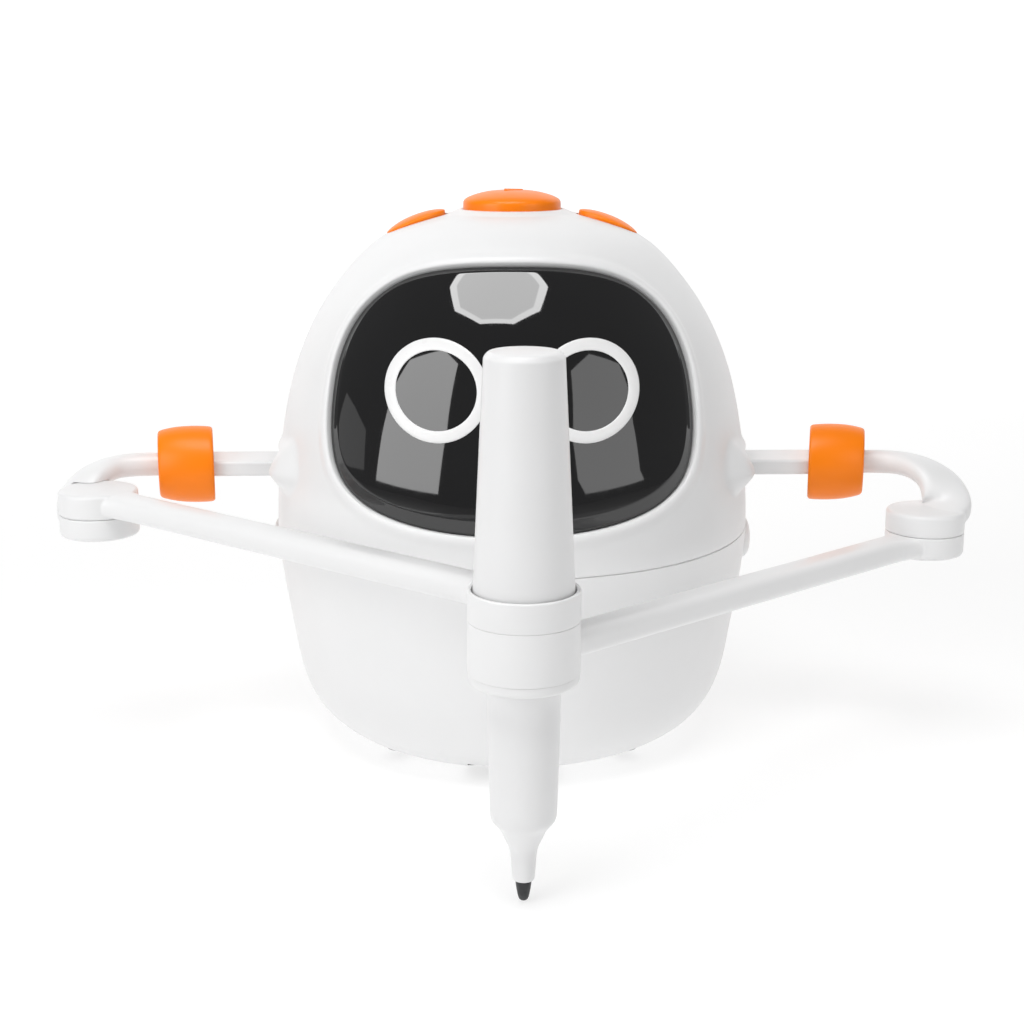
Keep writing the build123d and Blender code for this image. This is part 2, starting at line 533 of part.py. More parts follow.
ER = turned(EX, EY, SX, SY)
EL = turned(-EX, EY, -SX, SY)
half_d = math.dist(EL, ER) / 2
mx, my = (EL[0] + ER[0]) / 2, (EL[1] + ER[1]) / 2
reach = math.sqrt(FOREARM ** 2 - half_d ** 2)
ux, uy = (ER[0] - EL[0]) / (2 * half_d), (ER[1] - EL[1]) / (2 * half_d)
PX, PY = mx + uy * reach, my - ux * reach
print("elbows", [round(v, 4) for v in EL + ER], "pen axis", round(PX, 4), round(PY, 4))

# elbow pins, fixed in the upper arms
left_pin = cyl(EL[0], EL[1], PIN_R, LEVEL_B[0] + 1.3, LEVEL_C[1] - 1.6)
save(left_pin, "left_elbow_pin")
right_pin = cyl(ER[0], ER[1], PIN_R, LEVEL_A[0] + 0.6, LEVEL_B[1] - 1.3) + cyl(ER[0], ER[1], 4.6, LEVEL_A[0] + 0.2, LEVEL_A[0] + 1.4)
save(right_pin, "right_elbow_pin")


# ------------------------------------------------------------------ forearms and pen holder
def link(e, zc, disc_z, ring_z):
    dx, dy = PX - e[0], PY - e[1]
    d = math.hypot(dx, dy)
    pl = Plane(origin=(e[0], e[1], zc), x_dir=(dy / d, -dx / d, 0), z_dir=(dx / d, dy / d, 0))
    bar = extrude(pl * RectangleRounded(FORE_W, FORE_H, FORE_RND), amount=d - 1.0)
    dsc = cyl(e[0], e[1], DISC_R, *disc_z)
    return bar, dsc


barL, discL = link(EL, FORE_L_Z, LEVEL_C, RING1)
discL = soften(discL, discL.faces().sort_by(Axis.Z)[-1].edges(), 1.2)
fl = discL + barL + cyl(PX, PY, RING_R, *RING1)
fl = fl - cyl(EL[0], EL[1], DISC_R + 0.9, 50, LEVEL_C[0])
fl = fl - cyl(PX, PY, SLEEVE_RO, 50, 90) - cyl(PX, PY, 11.4, 71.5, 90)
fl = fl - cyl(EL[0], EL[1], PIN_R + PIN_FIT, 60, LEVEL_C[1] - 1.5)
fl = solid_of(fl)
lip = [e for e in fl.edges() if abs(e.center().Z - RING1[1]) < 0.05 and e.length > 20]
fl = soften(fl, lip, 0.3)
save(solid_of(fl), "left_forearm")

barR, discR = link(ER, FORE_R_Z, LEVEL_A, RING2)
discR = soften(discR, discR.faces().sort_by(Axis.Z)[0].edges(), 1.2)
fr = discR + barR + cyl(PX, PY, RING_R, *RING2)
fr = fr - cyl(ER[0], ER[1], DISC_R + 0.9, LEVEL_A[1], 80)
fr = fr - cyl(PX, PY, RING2_RI, 50, 90)
fr = fr - cyl(ER[0], ER[1], PIN_R + PIN_FIT, 50, 80) - cyl(ER[0], ER[1], 4.9, 50, LEVEL_A[0] + 1.5)
fr = solid_of(fr)
save(fr, "right_forearm")

sleeve = cyl(PX, PY, SLEEVE_RO, RING3[0] + 0.3, 71.5) - cyl(PX, PY, SLEEVE_RI, 40, 90)
save(solid_of(sleeve), "pen_sleeve")
ret = cyl(PX, PY, RING_R - 0.15, *RING3)
ret = soften(ret, ret.faces().sort_by(Axis.Z)[0].edges(), 1.2)
ret = ret - cyl(PX, PY, SLEEVE_RO, RING3[0] + 0.3, 90) - cyl(PX, PY, SLEEVE_RI + 0.1, 40, 90)
save(solid_of(ret), "retaining_ring")

# ------------------------------------------------------------------ pen
grip = turn([(8.6, 71.55), (10.95, 71.55), (11.1, 71.8), (8.65, 122.6), (8.5, 123.3), (8.1, 124.0), (7.4, 124.45), (6.6, PEN_TOP),
             (0, PEN_TOP), (0, 122.6), (7.0, 122.6), (9.2, 76.0), (8.6, 76.0)], PX, PY)
save(solid_of(grip), "pen_grip")
barrel = turn([(0, 98.0), (5.2, 98.0), (5.2, 76.0), (8.18, 76.0), (8.18, 52.0), (7.45, 21.6), (7.2, 20.6), (6.6, 19.8),
               (5.4, 18.2), (4.45, 16.2), (3.7, 14.6), (3.22, 13.3), (2.9, 11.6), (2.8, 10.6), (2.67, 7.8), (2.5, 5.9),
               (2.3, 5.7), (1.9, 5.7), (1.9, 16.0), (3.0, 17.5), (4.5, 21.5), (5.0, 24.0), (5.0, 74.0), (4.2, 75.0),
               (4.2, 96.8), (0, 96.8)], PX, PY)
save(solid_of(barrel), "pen_barrel")
nib = turn([(0, PEN_TIP), (0.45, PEN_TIP + 0.06), (0.85, PEN_TIP + 0.3), (1.2, PEN_TIP + 0.9), (1.5, PEN_TIP + 2.0), (1.78, PEN_TIP + 3.6),
            (1.88, 5.4), (1.88, 24.0), (0, 24.0)], PX, PY)
save(solid_of(nib), "pen_nib")
ink = cyl(PX, PY, 4.0, 24.1, 95.0)
save(ink, "ink_reservoir")
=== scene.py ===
import bpy
import bmesh
import json
import math
import numpy as np
from mathutils import Vector, Matrix


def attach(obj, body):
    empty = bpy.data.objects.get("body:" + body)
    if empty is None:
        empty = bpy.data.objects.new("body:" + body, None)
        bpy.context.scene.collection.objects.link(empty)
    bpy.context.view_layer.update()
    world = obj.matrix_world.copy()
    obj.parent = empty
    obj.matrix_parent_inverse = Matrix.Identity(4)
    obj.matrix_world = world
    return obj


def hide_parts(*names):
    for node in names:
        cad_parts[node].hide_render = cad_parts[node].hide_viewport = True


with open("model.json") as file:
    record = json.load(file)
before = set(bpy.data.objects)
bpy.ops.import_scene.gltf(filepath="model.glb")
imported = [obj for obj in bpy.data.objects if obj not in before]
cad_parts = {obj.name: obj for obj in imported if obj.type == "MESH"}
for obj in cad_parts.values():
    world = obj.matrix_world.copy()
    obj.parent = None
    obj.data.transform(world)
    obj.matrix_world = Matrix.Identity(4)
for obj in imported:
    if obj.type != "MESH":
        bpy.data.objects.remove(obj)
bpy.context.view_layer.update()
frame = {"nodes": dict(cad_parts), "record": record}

MM = 0.001
scene = bpy.context.scene
NODES = frame["nodes"]
SLOT_OF = {s["node"]: s["material_slot"] for s in frame["record"]["subparts"]}
BODY_OF = {n: b for b, ns in frame["record"]["behaviour"]["bodies"].items() for n in ns}


# ------------------------------------------------------------------ materials
def srgb(r, g, b):
    f = lambda c: (c / 255 / 12.92) if c <= 10.3 else ((c / 255 + 0.055) / 1.055) ** 2.4
    return (f(r), f(g), f(b))


def new_mat(name):
    m = bpy.data.materials.new(name)
    m.use_nodes = True
    nt = m.node_tree
    for n in list(nt.nodes):
        nt.nodes.remove(n)
    out = nt.nodes.new("ShaderNodeOutputMaterial")
    bsdf = nt.nodes.new("ShaderNodeBsdfPrincipled")
    nt.links.new(bsdf.outputs["BSDF"], out.inputs["Surface"])
    return m, nt, bsdf


def noise(nt, coord, scale, detail=3.0, rough=0.5, stretch=None):
    n = nt.nodes.new("ShaderNodeTexNoise")
    n.inputs["Scale"].default_value = scale
    n.inputs["Detail"].default_value = detail
    n.inputs["Roughness"].default_value = rough
    if stretch:
        mp = nt.nodes.new("ShaderNodeMapping")
        mp.inputs["Scale"].default_value = stretch
        nt.links.new(coord, mp.inputs["Vector"])
        coord = mp.outputs["Vector"]
    nt.links.new(coord, n.inputs["Vector"])
    return n


def ramp(nt, fac, lo, hi, p0=0.3, p1=0.7):
    r = nt.nodes.new("ShaderNodeValToRGB")
    r.color_ramp.elements[0].position = p0
    r.color_ramp.elements[1].position = p1
    r.color_ramp.elements[0].color = (*lo, 1)
    r.color_ramp.elements[1].color = (*hi, 1)
    nt.links.new(fac, r.inputs["Fac"])
    return r


def rng(nt, val, lo, hi):
    r = nt.nodes.new("ShaderNodeMapRange")
    r.inputs["From Min"].default_value = 0.3
    r.inputs["From Max"].default_value = 0.7
    r.inputs["To Min"].default_value = lo
    r.inputs["To Max"].default_value = hi
    nt.links.new(val, r.inputs["Value"])
    return r


def moulded(name, col, rough, var=0.03, rvar=0.05, grain=2600, bump=0.06, metal=0.0, ior=1.46, coat=0.0,
            coat_rough=0.1, broad=45, stretch=None, sss=0.0, emit=None, sheen=0.0, wear=0.0):
    """Moulded or machined surface: tone that drifts over the piece, uneven gloss and a fine surface texture."""
    m, nt, b = new_mat(name)
    tc = nt.nodes.new("ShaderNodeTexCoord").outputs["Object"]
    n1 = noise(nt, tc, broad, 4.0, 0.55)
    lo = tuple(max(0, c * (1 - var)) for c in col)
    hi = tuple(min(1, c * (1 + var * 0.6)) for c in col)
    r1 = ramp(nt, n1.outputs["Fac"], lo, hi)
    nt.links.new(r1.outputs["Color"], b.inputs["Base Color"])
    n2 = noise(nt, tc, 310, 5.0, 0.6, stretch)
    r2 = rng(nt, n2.outputs["Fac"], max(0.02, rough - rvar), rough + rvar)
    nt.links.new(r2.outputs["Result"], b.inputs["Roughness"])
    n3 = noise(nt, tc, grain, 3.0, 0.6, stretch)
    bp = nt.nodes.new("ShaderNodeBump")
    bp.inputs["Strength"].default_value = bump
    bp.inputs["Distance"].default_value = 0.00004
    nt.links.new(n3.outputs["Fac"], bp.inputs["Height"])
    nt.links.new(bp.outputs["Normal"], b.inputs["Normal"])
    b.inputs["Metallic"].default_value = metal
    b.inputs["IOR"].default_value = ior
    b.inputs["Coat Weight"].default_value = coat
    b.inputs["Coat Roughness"].default_value = coat_rough
    b.inputs["Sheen Weight"].default_value = sheen
    if sss:
        b.inputs["Subsurface Weight"].default_value = sss
        b.inputs["Subsurface Radius"].default_value = (0.0015, 0.0012, 0.001)
    if emit:
        b.inputs["Emission Color"].default_value = (*emit[0], 1)
        b.inputs["Emission Strength"].default_value = emit[1]
    return m


WHITE = (0.8, 0.801, 0.803)
MATS = {
    "white_shell": moulded("WhiteShell", WHITE, 0.36, var=0.012, rvar=0.05, grain=2400, bump=0.05),
    "white_arm": moulded("WhiteArm", (0.81, 0.81, 0.812), 0.33, var=0.012, rvar=0.05, grain=2100, bump=0.05),
    "orange_plastic": moulded("OrangePlastic", (1.0, 0.225, 0.001), 0.34, var=0.02, rvar=0.015, grain=1800, bump=0.02, ior=1.4),
    "orange_rubber": moulded("OrangeRubber", (1.0, 0.225, 0.001), 0.38, var=0.03, rvar=0.02, grain=2600, bump=0.04, ior=1.38),
    "black_lens": moulded("BlackLens", (0.0035, 0.0035, 0.004), 0.035, var=0.25, rvar=0.012, grain=160, bump=0.01, ior=1.75),
    "light_ring": moulded("LightRing", (0.8, 0.8, 0.8), 0.3, var=0.02, rvar=0.04, grain=1500, bump=0.03,
                          emit=((1, 1, 1), 0.015)),
    "black_plastic": moulded("BlackPlastic", (0.022, 0.022, 0.023), 0.5, var=0.2, rvar=0.08, grain=2200, bump=0.2),
    "grey_plastic": moulded("GreyPlastic", (0.16, 0.165, 0.17), 0.5, var=0.08, rvar=0.07, grain=2200, bump=0.15),
    "servo_case": moulded("ServoCase", (0.018, 0.04, 0.16), 0.4, var=0.12, rvar=0.07, grain=1900, bump=0.12),
    "pcb": moulded("CircuitBoard", (0.012, 0.12, 0.05), 0.35, var=0.25, rvar=0.1, grain=900, bump=0.15, broad=260),
    "steel": moulded("ZincSteel", (0.55, 0.55, 0.56), 0.3, var=0.08, rvar=0.12, grain=1400, bump=0.1, metal=1.0),
    "brass": moulded("TurnedBrass", (0.62, 0.42, 0.16), 0.28, var=0.08, rvar=0.1, grain=1400, bump=0.1, metal=1.0),
    "feet_rubber": moulded("FeetRubber", (0.5, 0.5, 0.505), 0.7, var=0.06, rvar=0.08, grain=1500, bump=0.25),
    "cell_wrap": moulded("CellWrap", (0.04, 0.09, 0.26), 0.28, var=0.1, rvar=0.08, grain=500, bump=0.1),
    "pen_white": moulded("PenWhite", (0.79, 0.79, 0.793), 0.36, var=0.012, rvar=0.015, grain=2000, bump=0.015),
    "nib_felt": moulded("NibFelt", (0.028, 0.029, 0.031), 0.8, var=0.35, rvar=0.1, grain=2600, bump=0.5, broad=900, sheen=0.3),
}
MATS["black_lens"].name = "BlackLens"
for n, o in NODES.items():
    o.data.materials.clear()
    o.data.materials.append(MATS[SLOT_OF[n]])
    o.data.polygons.foreach_set("material_index", np.zeros(len(o.data.polygons), np.int32))


# ------------------------------------------------------------------ mesh helpers
def spline_fn(pts, closed=False):
    """Cubic spline through points, by chord length; returns f(t) and the total length."""
    P = np.array(pts, float)
    if closed:
        P = np.vstack([P, P[:1]])
    t = np.concatenate([[0], np.cumsum(np.linalg.norm(np.diff(P, axis=0), axis=1))])
    n = len(P)
    h = np.diff(t)
    A = np.zeros((n, n))
    B = np.zeros((n, P.shape[1]))
    for i in range(1, n - 1):
        A[i, i - 1], A[i, i], A[i, i + 1] = h[i - 1], 2 * (h[i - 1] + h[i]), h[i]
        B[i] = 6 * ((P[i + 1] - P[i]) / h[i] - (P[i] - P[i - 1]) / h[i - 1])
    if closed:
        A[0, 0], A[0, 1], A[0, n - 2], A[0, n - 1] = 2 * h[0], h[0], h[-1], 2 * h[-1]
        B[0] = 6 * ((P[1] - P[0]) / h[0] - (P[-1] - P[-2]) / h[-1])
        A[n - 1, 0], A[n - 1, n - 1] = 1, -1
    else:
        A[0, 0] = A[n - 1, n - 1] = 1
    M = np.linalg.solve(A, B)

    def f(s):
        s = np.atleast_1d(np.asarray(s, float))
        i = np.clip(np.searchsorted(t, s, side="right") - 1, 0, n - 2)
        a = ((t[i + 1] - s) / h[i])[:, None]
        b = ((s - t[i]) / h[i])[:, None]
        hh = h[i][:, None]
        return a * P[i] + b * P[i + 1] + ((a ** 3 - a) * M[i] + (b ** 3 - b) * M[i + 1]) * hh ** 2 / 6
    return f, t[-1]


PROFILE = [(38.0, 1.2), (45.5, 2.4), (51.2, 5.6), (55.6, 10.0), (58.6, 15.5), (60.3, 21.0),
           (61.9, 30.0), (63.5, 40.0), (64.9, 50.0), (65.6, 60.0), (65.3, 70.0), (64.4, 80.0),
           (62.9, 90.0), (60.7, 100.0), (57.3, 110.0), (52.3, 120.0), (45.0, 130.0),
           (36.6, 138.0), (26.5, 142.7), (18.0, 144.8), (9.0, 145.9), (0.0, 146.2)]
VISOR = [(21.1, 72.3), (31.1, 74.2), (37.2, 76.4), (41.0, 78.8), (43.6, 81.4), (45.1, 84.1),
         (46.0, 87.0), (46.5, 90.0), (46.75, 93.5), (46.7, 97.0), (46.4, 101.0), (46.0, 104.5),
         (45.3, 108.5), (44.3, 112.0), (42.8, 115.8), (40.9, 119.3), (38.3, 122.8),
         (34.6, 126.4), (29.4, 129.9), (21.8, 132.7), (12.0, 134.2)]
_f, _L = spline_fn(PROFILE)
_s = np.linspace(0, _L, 4001)
PC = _f(_s)                                   # profile points (r, z)
_T = np.gradient(PC, axis=0)
_T /= np.linalg.norm(_T, axis=1)[:, None]
PN = np.stack([_T[:, 1], -_T[:, 0]], 1)       # outward normal (r, z)


def s_of_z(z):
    return np.interp(z, PC[:, 1], _s)


def skin(theta, s, off):
    """Point of the body's skin, off mm outside it. theta 0 is the front."""
    r = np.interp(s, _s, PC[:, 0]) + off * np.interp(s, _s, PN[:, 0])
    z = np.interp(s, _s, PC[:, 1]) + off * np.interp(s, _s, PN[:, 1])
    return np.stack([r * np.sin(theta), -r * np.cos(theta), z], -1)


def add_mesh(name, verts, faces, mat, smooth=True, weld=1e-5, angle=None):
    me = bpy.data.meshes.new(name)
    me.from_pydata([tuple(v) for v in np.asarray(verts) * MM], [], faces)
    bm = bmesh.new()
    bm.from_mesh(me)
    bmesh.ops.remove_doubles(bm, verts=bm.verts, dist=weld)
    bmesh.ops.dissolve_degenerate(bm, edges=bm.edges, dist=1e-7)
    bmesh.ops.recalc_face_normals(bm, faces=bm.faces)
    if angle:
        for e in bm.edges:
            e.smooth = not (len(e.link_faces) == 2 and e.calc_face_angle(0) > math.radians(angle))
    for f in bm.faces:
        f.smooth = smooth
    bm.to_mesh(me)
    bm.free()
    o = bpy.data.objects.new(name, me)
    scene.collection.objects.link(o)
    if mat:
        me.materials.append(MATS[mat])
    return o


def own(o, body, mat, *nodes):
    """Ride the piece on its body, in the place of the CAD nodes that it stands for."""
    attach(o, body)
    if nodes:
        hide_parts(*nodes)
    return o


def bake(o):
    """Apply the modifiers and keep the result as the object's own mesh."""
    bpy.context.view_layer.update()
    dg = bpy.context.evaluated_depsgraph_get()
    me = bpy.data.meshes.new_from_object(o.evaluated_get(dg))
    o.modifiers.clear()
    old = o.data
    o.data = me
    bpy.data.meshes.remove(old)
    return o


def sharpen(o, angle):
    bm = bmesh.new()
    bm.from_mesh(o.data)
    for e in bm.edges:
        e.smooth = not (len(e.link_faces) == 2 and e.calc_face_angle(0) > math.radians(angle))
    for f in bm.faces:
        f.smooth = True
    bm.to_mesh(o.data)
    bm.free()


def cut(o, cutters, solver="EXACT"):
    for c in cutters:
        m = o.modifiers.new("cut", "BOOLEAN")
        m.operation = "DIFFERENCE"
        m.solver = solver
        m.object = c
        c.hide_render = True
    bake(o)
    for c in cutters:
        d = c.data
        bpy.data.objects.remove(c)
        bpy.data.meshes.remove(d)
    return o


def prism(name, outline, a, b):
    """Closed prism between two matched loops of 3-D points."""
    n = len(outline[0])
    verts = list(outline[0]) + list(outline[1])
    faces = [tuple(range(n))[::-1], tuple(range(n, 2 * n))]
    faces += [(i, (i + 1) % n, n + (i + 1) % n, n + i) for i in range(n)]
    return add_mesh(name, verts, faces, None)


def rounded_rect(w, h, r, k=8):
    pts = []
    for cx, cy, a0 in ((w / 2 - r, h / 2 - r, 0), (-w / 2 + r, h / 2 - r, 90), (-w / 2 + r, -h / 2 + r, 180), (w / 2 - r, -h / 2 + r, 270)):
        for i in range(k + 1):
            a = math.radians(a0 + 90 * i / k)
            pts.append((cx + r * math.cos(a), cy + r * math.sin(a)))
    return pts


# face window outline as a dense closed loop (x, z), evenly spaced, starting at the bottom middle, to the right
_right = [(x, z) for x, z in VISOR]
_loop = [(0.0, 71.2)] + _right + [(0.0, 134.6)] + [(-x, z) for x, z in reversed(_right)]
_vf, _vL = spline_fn(_loop, closed=True)


def visor_loop(n, off=0.0):
    """n points of the window outline, moved outwards by off."""
    t = np.linspace(0, _vL, 4001)
    d = _vf(t)
    seg = np.concatenate([[0], np.cumsum(np.linalg.norm(np.diff(d, axis=0), axis=1))])
    tt = np.interp(np.linspace(0, seg[-1], n, endpoint=False), seg, t)
    p = _vf(tt)
    e = 0.05
    g = _vf((tt + e) % _vL) - _vf((tt - e) % _vL)
    g /= np.linalg.norm(g, axis=1)[:, None]
    nrm = np.stack([g[:, 1], -g[:, 0]], 1)
    return p + nrm * off, nrm


def xz_to_ts(p, off=0.0):
    z = p[:, 1]
    s = s_of_z(z)
    r = np.interp(s, _s, PC[:, 0])
    return np.arcsin(np.clip(p[:, 0] / r, -1, 1)), s


# ------------------------------------------------------------------ head shell
def smooth01(t):
    t = np.clip(t, 0, 1)
    return t * t * (3 - 2 * t)


def build_head():
    N, M = 600, 84
    p0, _ = visor_loop(N, 0.7)
    th0, s0 = xz_to_ts(p0)
    R = 62.0
    A0 = np.stack([th0 * R, s0], 1)
    g = np.roll(A0, -1, 0) - np.roll(A0, 1, 0)
    g /= np.linalg.norm(g, axis=1)[:, None]
    nrm = np.stack([g[:, 1], -g[:, 0]], 1)
    s_lo = s_of_z(60.7)
    s_hi = _s[np.argmax((PC[:, 0] < 13.9) & (PC[:, 1] > 120))]
    a_hi = math.pi * R
    # where each column of the grid ends on the rectangle of the unrolled skin
    c = np.array([0.0, s_of_z(98.0)])
    D = A0 - c
    ang = np.arctan2(D[:, 1], D[:, 0])
    # spread the columns: towards even spacing on the rectangle
    w, lo_, hi_ = 2 * a_hi, s_lo - c[1], s_hi - c[1]
    ray = np.stack([np.cos(ang), np.sin(ang)], 1)
    tx = np.where(np.abs(ray[:, 0]) > 1e-9, a_hi / np.maximum(np.abs(ray[:, 0]), 1e-9), 1e9)
    ty = np.where(ray[:, 1] > 0, hi_ / np.maximum(ray[:, 1], 1e-9), lo_ / np.minimum(ray[:, 1], -1e-9))
    E = c + ray * np.minimum(tx, ty)[:, None]
    per_lo, per_hi, side = w, w, hi_ - lo_
    total = 2 * w + 2 * side

    def to_u(q):        # distance round the rectangle from the bottom middle, anticlockwise seen from outside
        x, y = q[0], q[1] - c[1]
        if abs(y - lo_) < 1e-6:
            return (x) % total
        if abs(x - a_hi) < 1e-6:
            return a_hi + (y - lo_)
        if abs(y - hi_) < 1e-6:
            return a_hi + side + (a_hi - x)
        return total - a_hi - (y - lo_)

    def from_u(u):
        u = u % total
        if u <= a_hi:
            return (u, lo_ + c[1])
        if u <= a_hi + side:
            return (a_hi, u - a_hi + lo_ + c[1])
        if u <= a_hi + side + w:
            return (a_hi - (u - a_hi - side), hi_ + c[1])
        if u <= total - a_hi:
            return (-a_hi, hi_ + c[1] - (u - a_hi - side - w))
        return (u - total, lo_ + c[1])

    u = np.array([to_u(q) for q in E])
    u[0] = 0.0
    u = np.where((np.arange(N) > N // 2) & (u < total / 2), u + total, u)
    even = np.arange(N) / N * total
    u = 0.35 * u + 0.65 * even
    for corner in (a_hi, a_hi + side, a_hi + side + w, total - a_hi):
        u[np.argmin(np.abs(u - corner))] = corner
    Bd = np.array([from_u(x) for x in u])
    # rings: wall, rounded edge, soft raised rim, then the open skin
    rim = [(0.0, -2.4), (0.0, -1.3), (0.0, -0.45), (0.02, -0.2), (0.07, -0.02), (0.16, 0.12), (0.3, 0.24), (0.55, 0.36), (0.9, 0.46),
           (1.3, 0.50), (1.75, 0.48), (2.2, 0.40), (2.7, 0.27), (3.2, 0.14), (3.7, 0.05), (4.2, 0.01), (4.8, 0.0), (5.5, 0.0)]
    rings = [(A0 + nrm * d, np.full(N, h)) for d, h in rim]
    last = A0 + nrm * rim[-1][0]
    for j in range(1, M + 1):
        t = j / M
        tt = 0.45 * t + 0.55 * t * t if t < 1 else 1.0
        q = last + (Bd - last) * tt
        # weight meant to keep the first rows running square to the rim; it is worked out but not applied to the rows
        k = (1 - smooth01(t / 0.25)) * (tt * 18)
        rings.append((q if j == M else q, np.zeros(N)))
    grid, offs = np.array([r[0] for r in rings]), np.array([r[1] for r in rings])
    th, s = grid[:, :, 0] / R, grid[:, :, 1]
    # small lip round the main button
    rr = np.interp(s, _s, PC[:, 0])
    top = np.interp(s, _s, PC[:, 1]) > 120
    lip = np.where(top, 0.75 * (1 - smooth01((rr - 13.9) / 3.6)), 0.0)
    out = skin(th, s, offs + lip)
    # soft collars round the shoulder slots
    x, y, z = out[..., 0], out[..., 1], out[..., 2]
    crest = 2.2 + np.sqrt(np.maximum(65.0 ** 2 - (y + 7.0) ** 2, 1.0))
    up_ = np.sqrt((z - 77.9) ** 2 + 0.36) - 0.6
    drop = np.where(z < 77.9, 0.66 * up_ + 0.05 * up_ ** 2, 0.38 * up_ + 0.045 * up_ ** 2)
    far = np.maximum(np.abs(y + 7.1) - 17.6, 0)
    tgt = crest - drop - 0.13 * far ** 2
    k = 1.1
    ax = np.abs(x)
    hgt = np.clip(0.5 + 0.5 * (tgt - ax) / k, 0, 1)
    blended = ax * (1 - hgt) + tgt * hgt + k * hgt * (1 - hgt)
    live = (np.abs(th) > 0.6) & (np.abs(z - 78.4) < 22) & (far < 16)
    nx = np.where(live, np.maximum(blended, ax), ax)
    out[..., 0] = np.sign(x) * np.minimum(nx, 67.25)
    inn = skin(th, s, np.full_like(offs, -2.4))
    K = len(rings)
    verts = list(out.reshape(-1, 3))
    faces = []
    for j in range(K - 1):
        for i in range(N):
            i2 = (i + 1) % N
            faces.append((j * N + i, j * N + i2, (j + 1) * N + i2, (j + 1) * N + i))
    # inner skin starts at the wall's inner edge and skips the fine rim rows
    keep = [0, 9, 14] + list(range(17, K, 2))
    if keep[-1] != K - 1:
        keep.append(K - 1)
    base = len(verts)
    for j in keep[1:]:
        verts += list(inn[j])
    row = lambda q: 0 if q == 0 else base + (q - 1) * N
    for q in range(len(keep) - 1):
        for i in range(N):
            i2 = (i + 1) % N
            a, b = row(q), row(q + 1)
            faces.append((a + i, b + i, b + i2, a + i2))
    # close the lower edge (with the seam's chamfer) and the button hole
    outer_last, inner_last = (K - 1) * N, row(len(keep) - 1)
    bottom = np.abs(Bd[:, 1] - s_lo) < 1e-6
    topm = np.abs(Bd[:, 1] - s_hi) < 1e-6
    th_b = Bd[:, 0] / R
    ring_lo = []
    for r_, z_ in ((65.56, 60.25), (65.5, 60.1), (65.36, 60.0), (63.22, 60.0)):
        b0 = len(verts)
        verts += [(r_ * math.sin(t), -r_ * math.cos(t), z_) for t in th_b]
        ring_lo.append(b0)
    ring_hi = []
    for r_, z_ in ((13.62, 145.95), (13.55, 145.6), (13.55, 143.2)):
        b0 = len(verts)
        verts += [(r_ * math.sin(t), -r_ * math.cos(t), z_) for t in th_b]
        ring_hi.append(b0)
    for flag, chain in ((bottom, [outer_last] + ring_lo + [inner_last]), (topm, [outer_last] + ring_hi + [inner_last])):
        for i in range(N):
            i2 = (i + 1) % N
            if flag[i] and flag[i2]:
                for a, b in zip(chain[:-1], chain[1:]):
                    faces.append((a + i, a + i2, b + i2, b + i))
    used = sorted({i for f in faces for i in f})
    remap = {a: b for b, a in enumerate(used)}
    V = np.array(verts)[used]
    F = [tuple(remap[i] for i in f) for f in faces]
    return V, F


V, F = build_head()
head = add_mesh("head_shell_moulding", V, F, "white_shell", weld=2e-6)

slot_loop = rounded_rect(32.2, 10.4, 3.0)
cutters = []
for sgn in (-1, 1):
    a = [(sgn * 50.0, -7.1 + u, 78.4 + v) for u, v in slot_loop]
    b = [(sgn * 72.0, -7.1 + u, 78.4 + v) for u, v in slot_loop]
    cutters.append(prism("slot_cut", (a, b), None, None))
tilt = math.radians(19.5)
for sgn in (-1, 1):
    nx, nz = sgn * math.sin(tilt), math.cos(tilt)
    tx_, tz_ = math.cos(tilt), -sgn * math.sin(tilt)
    loops = []
    for d in (-8.0, 8.0):
        loops.append([(sgn * 26.0 + 8.8 * math.cos(q) * tx_ + nx * d, -1.0 + 5.9 * math.sin(q), 143.15 + 8.8 * math.cos(q) * tz_ + nz * d)
                      for q in np.linspace(0, 2 * math.pi, 64, endpoint=False)])
    cutters.append(prism("button_cut", loops, None, None))
for i in range(-3, 4):
    h = 20.0 - 1.6 * abs(i) ** 1.5
    lp = rounded_rect(1.8, h, 0.88, 6)
    cutters.append(prism("sound_cut", ([(i * 4.2 + u, 40.0, 96 + v) for u, v in lp], [(i * 4.2 + u, 70.0, 96 + v) for u, v in lp]), None, None))
cut(head, cutters)
sharpen(head, 38)
own(head, "root", "white_shell", "head_shell")


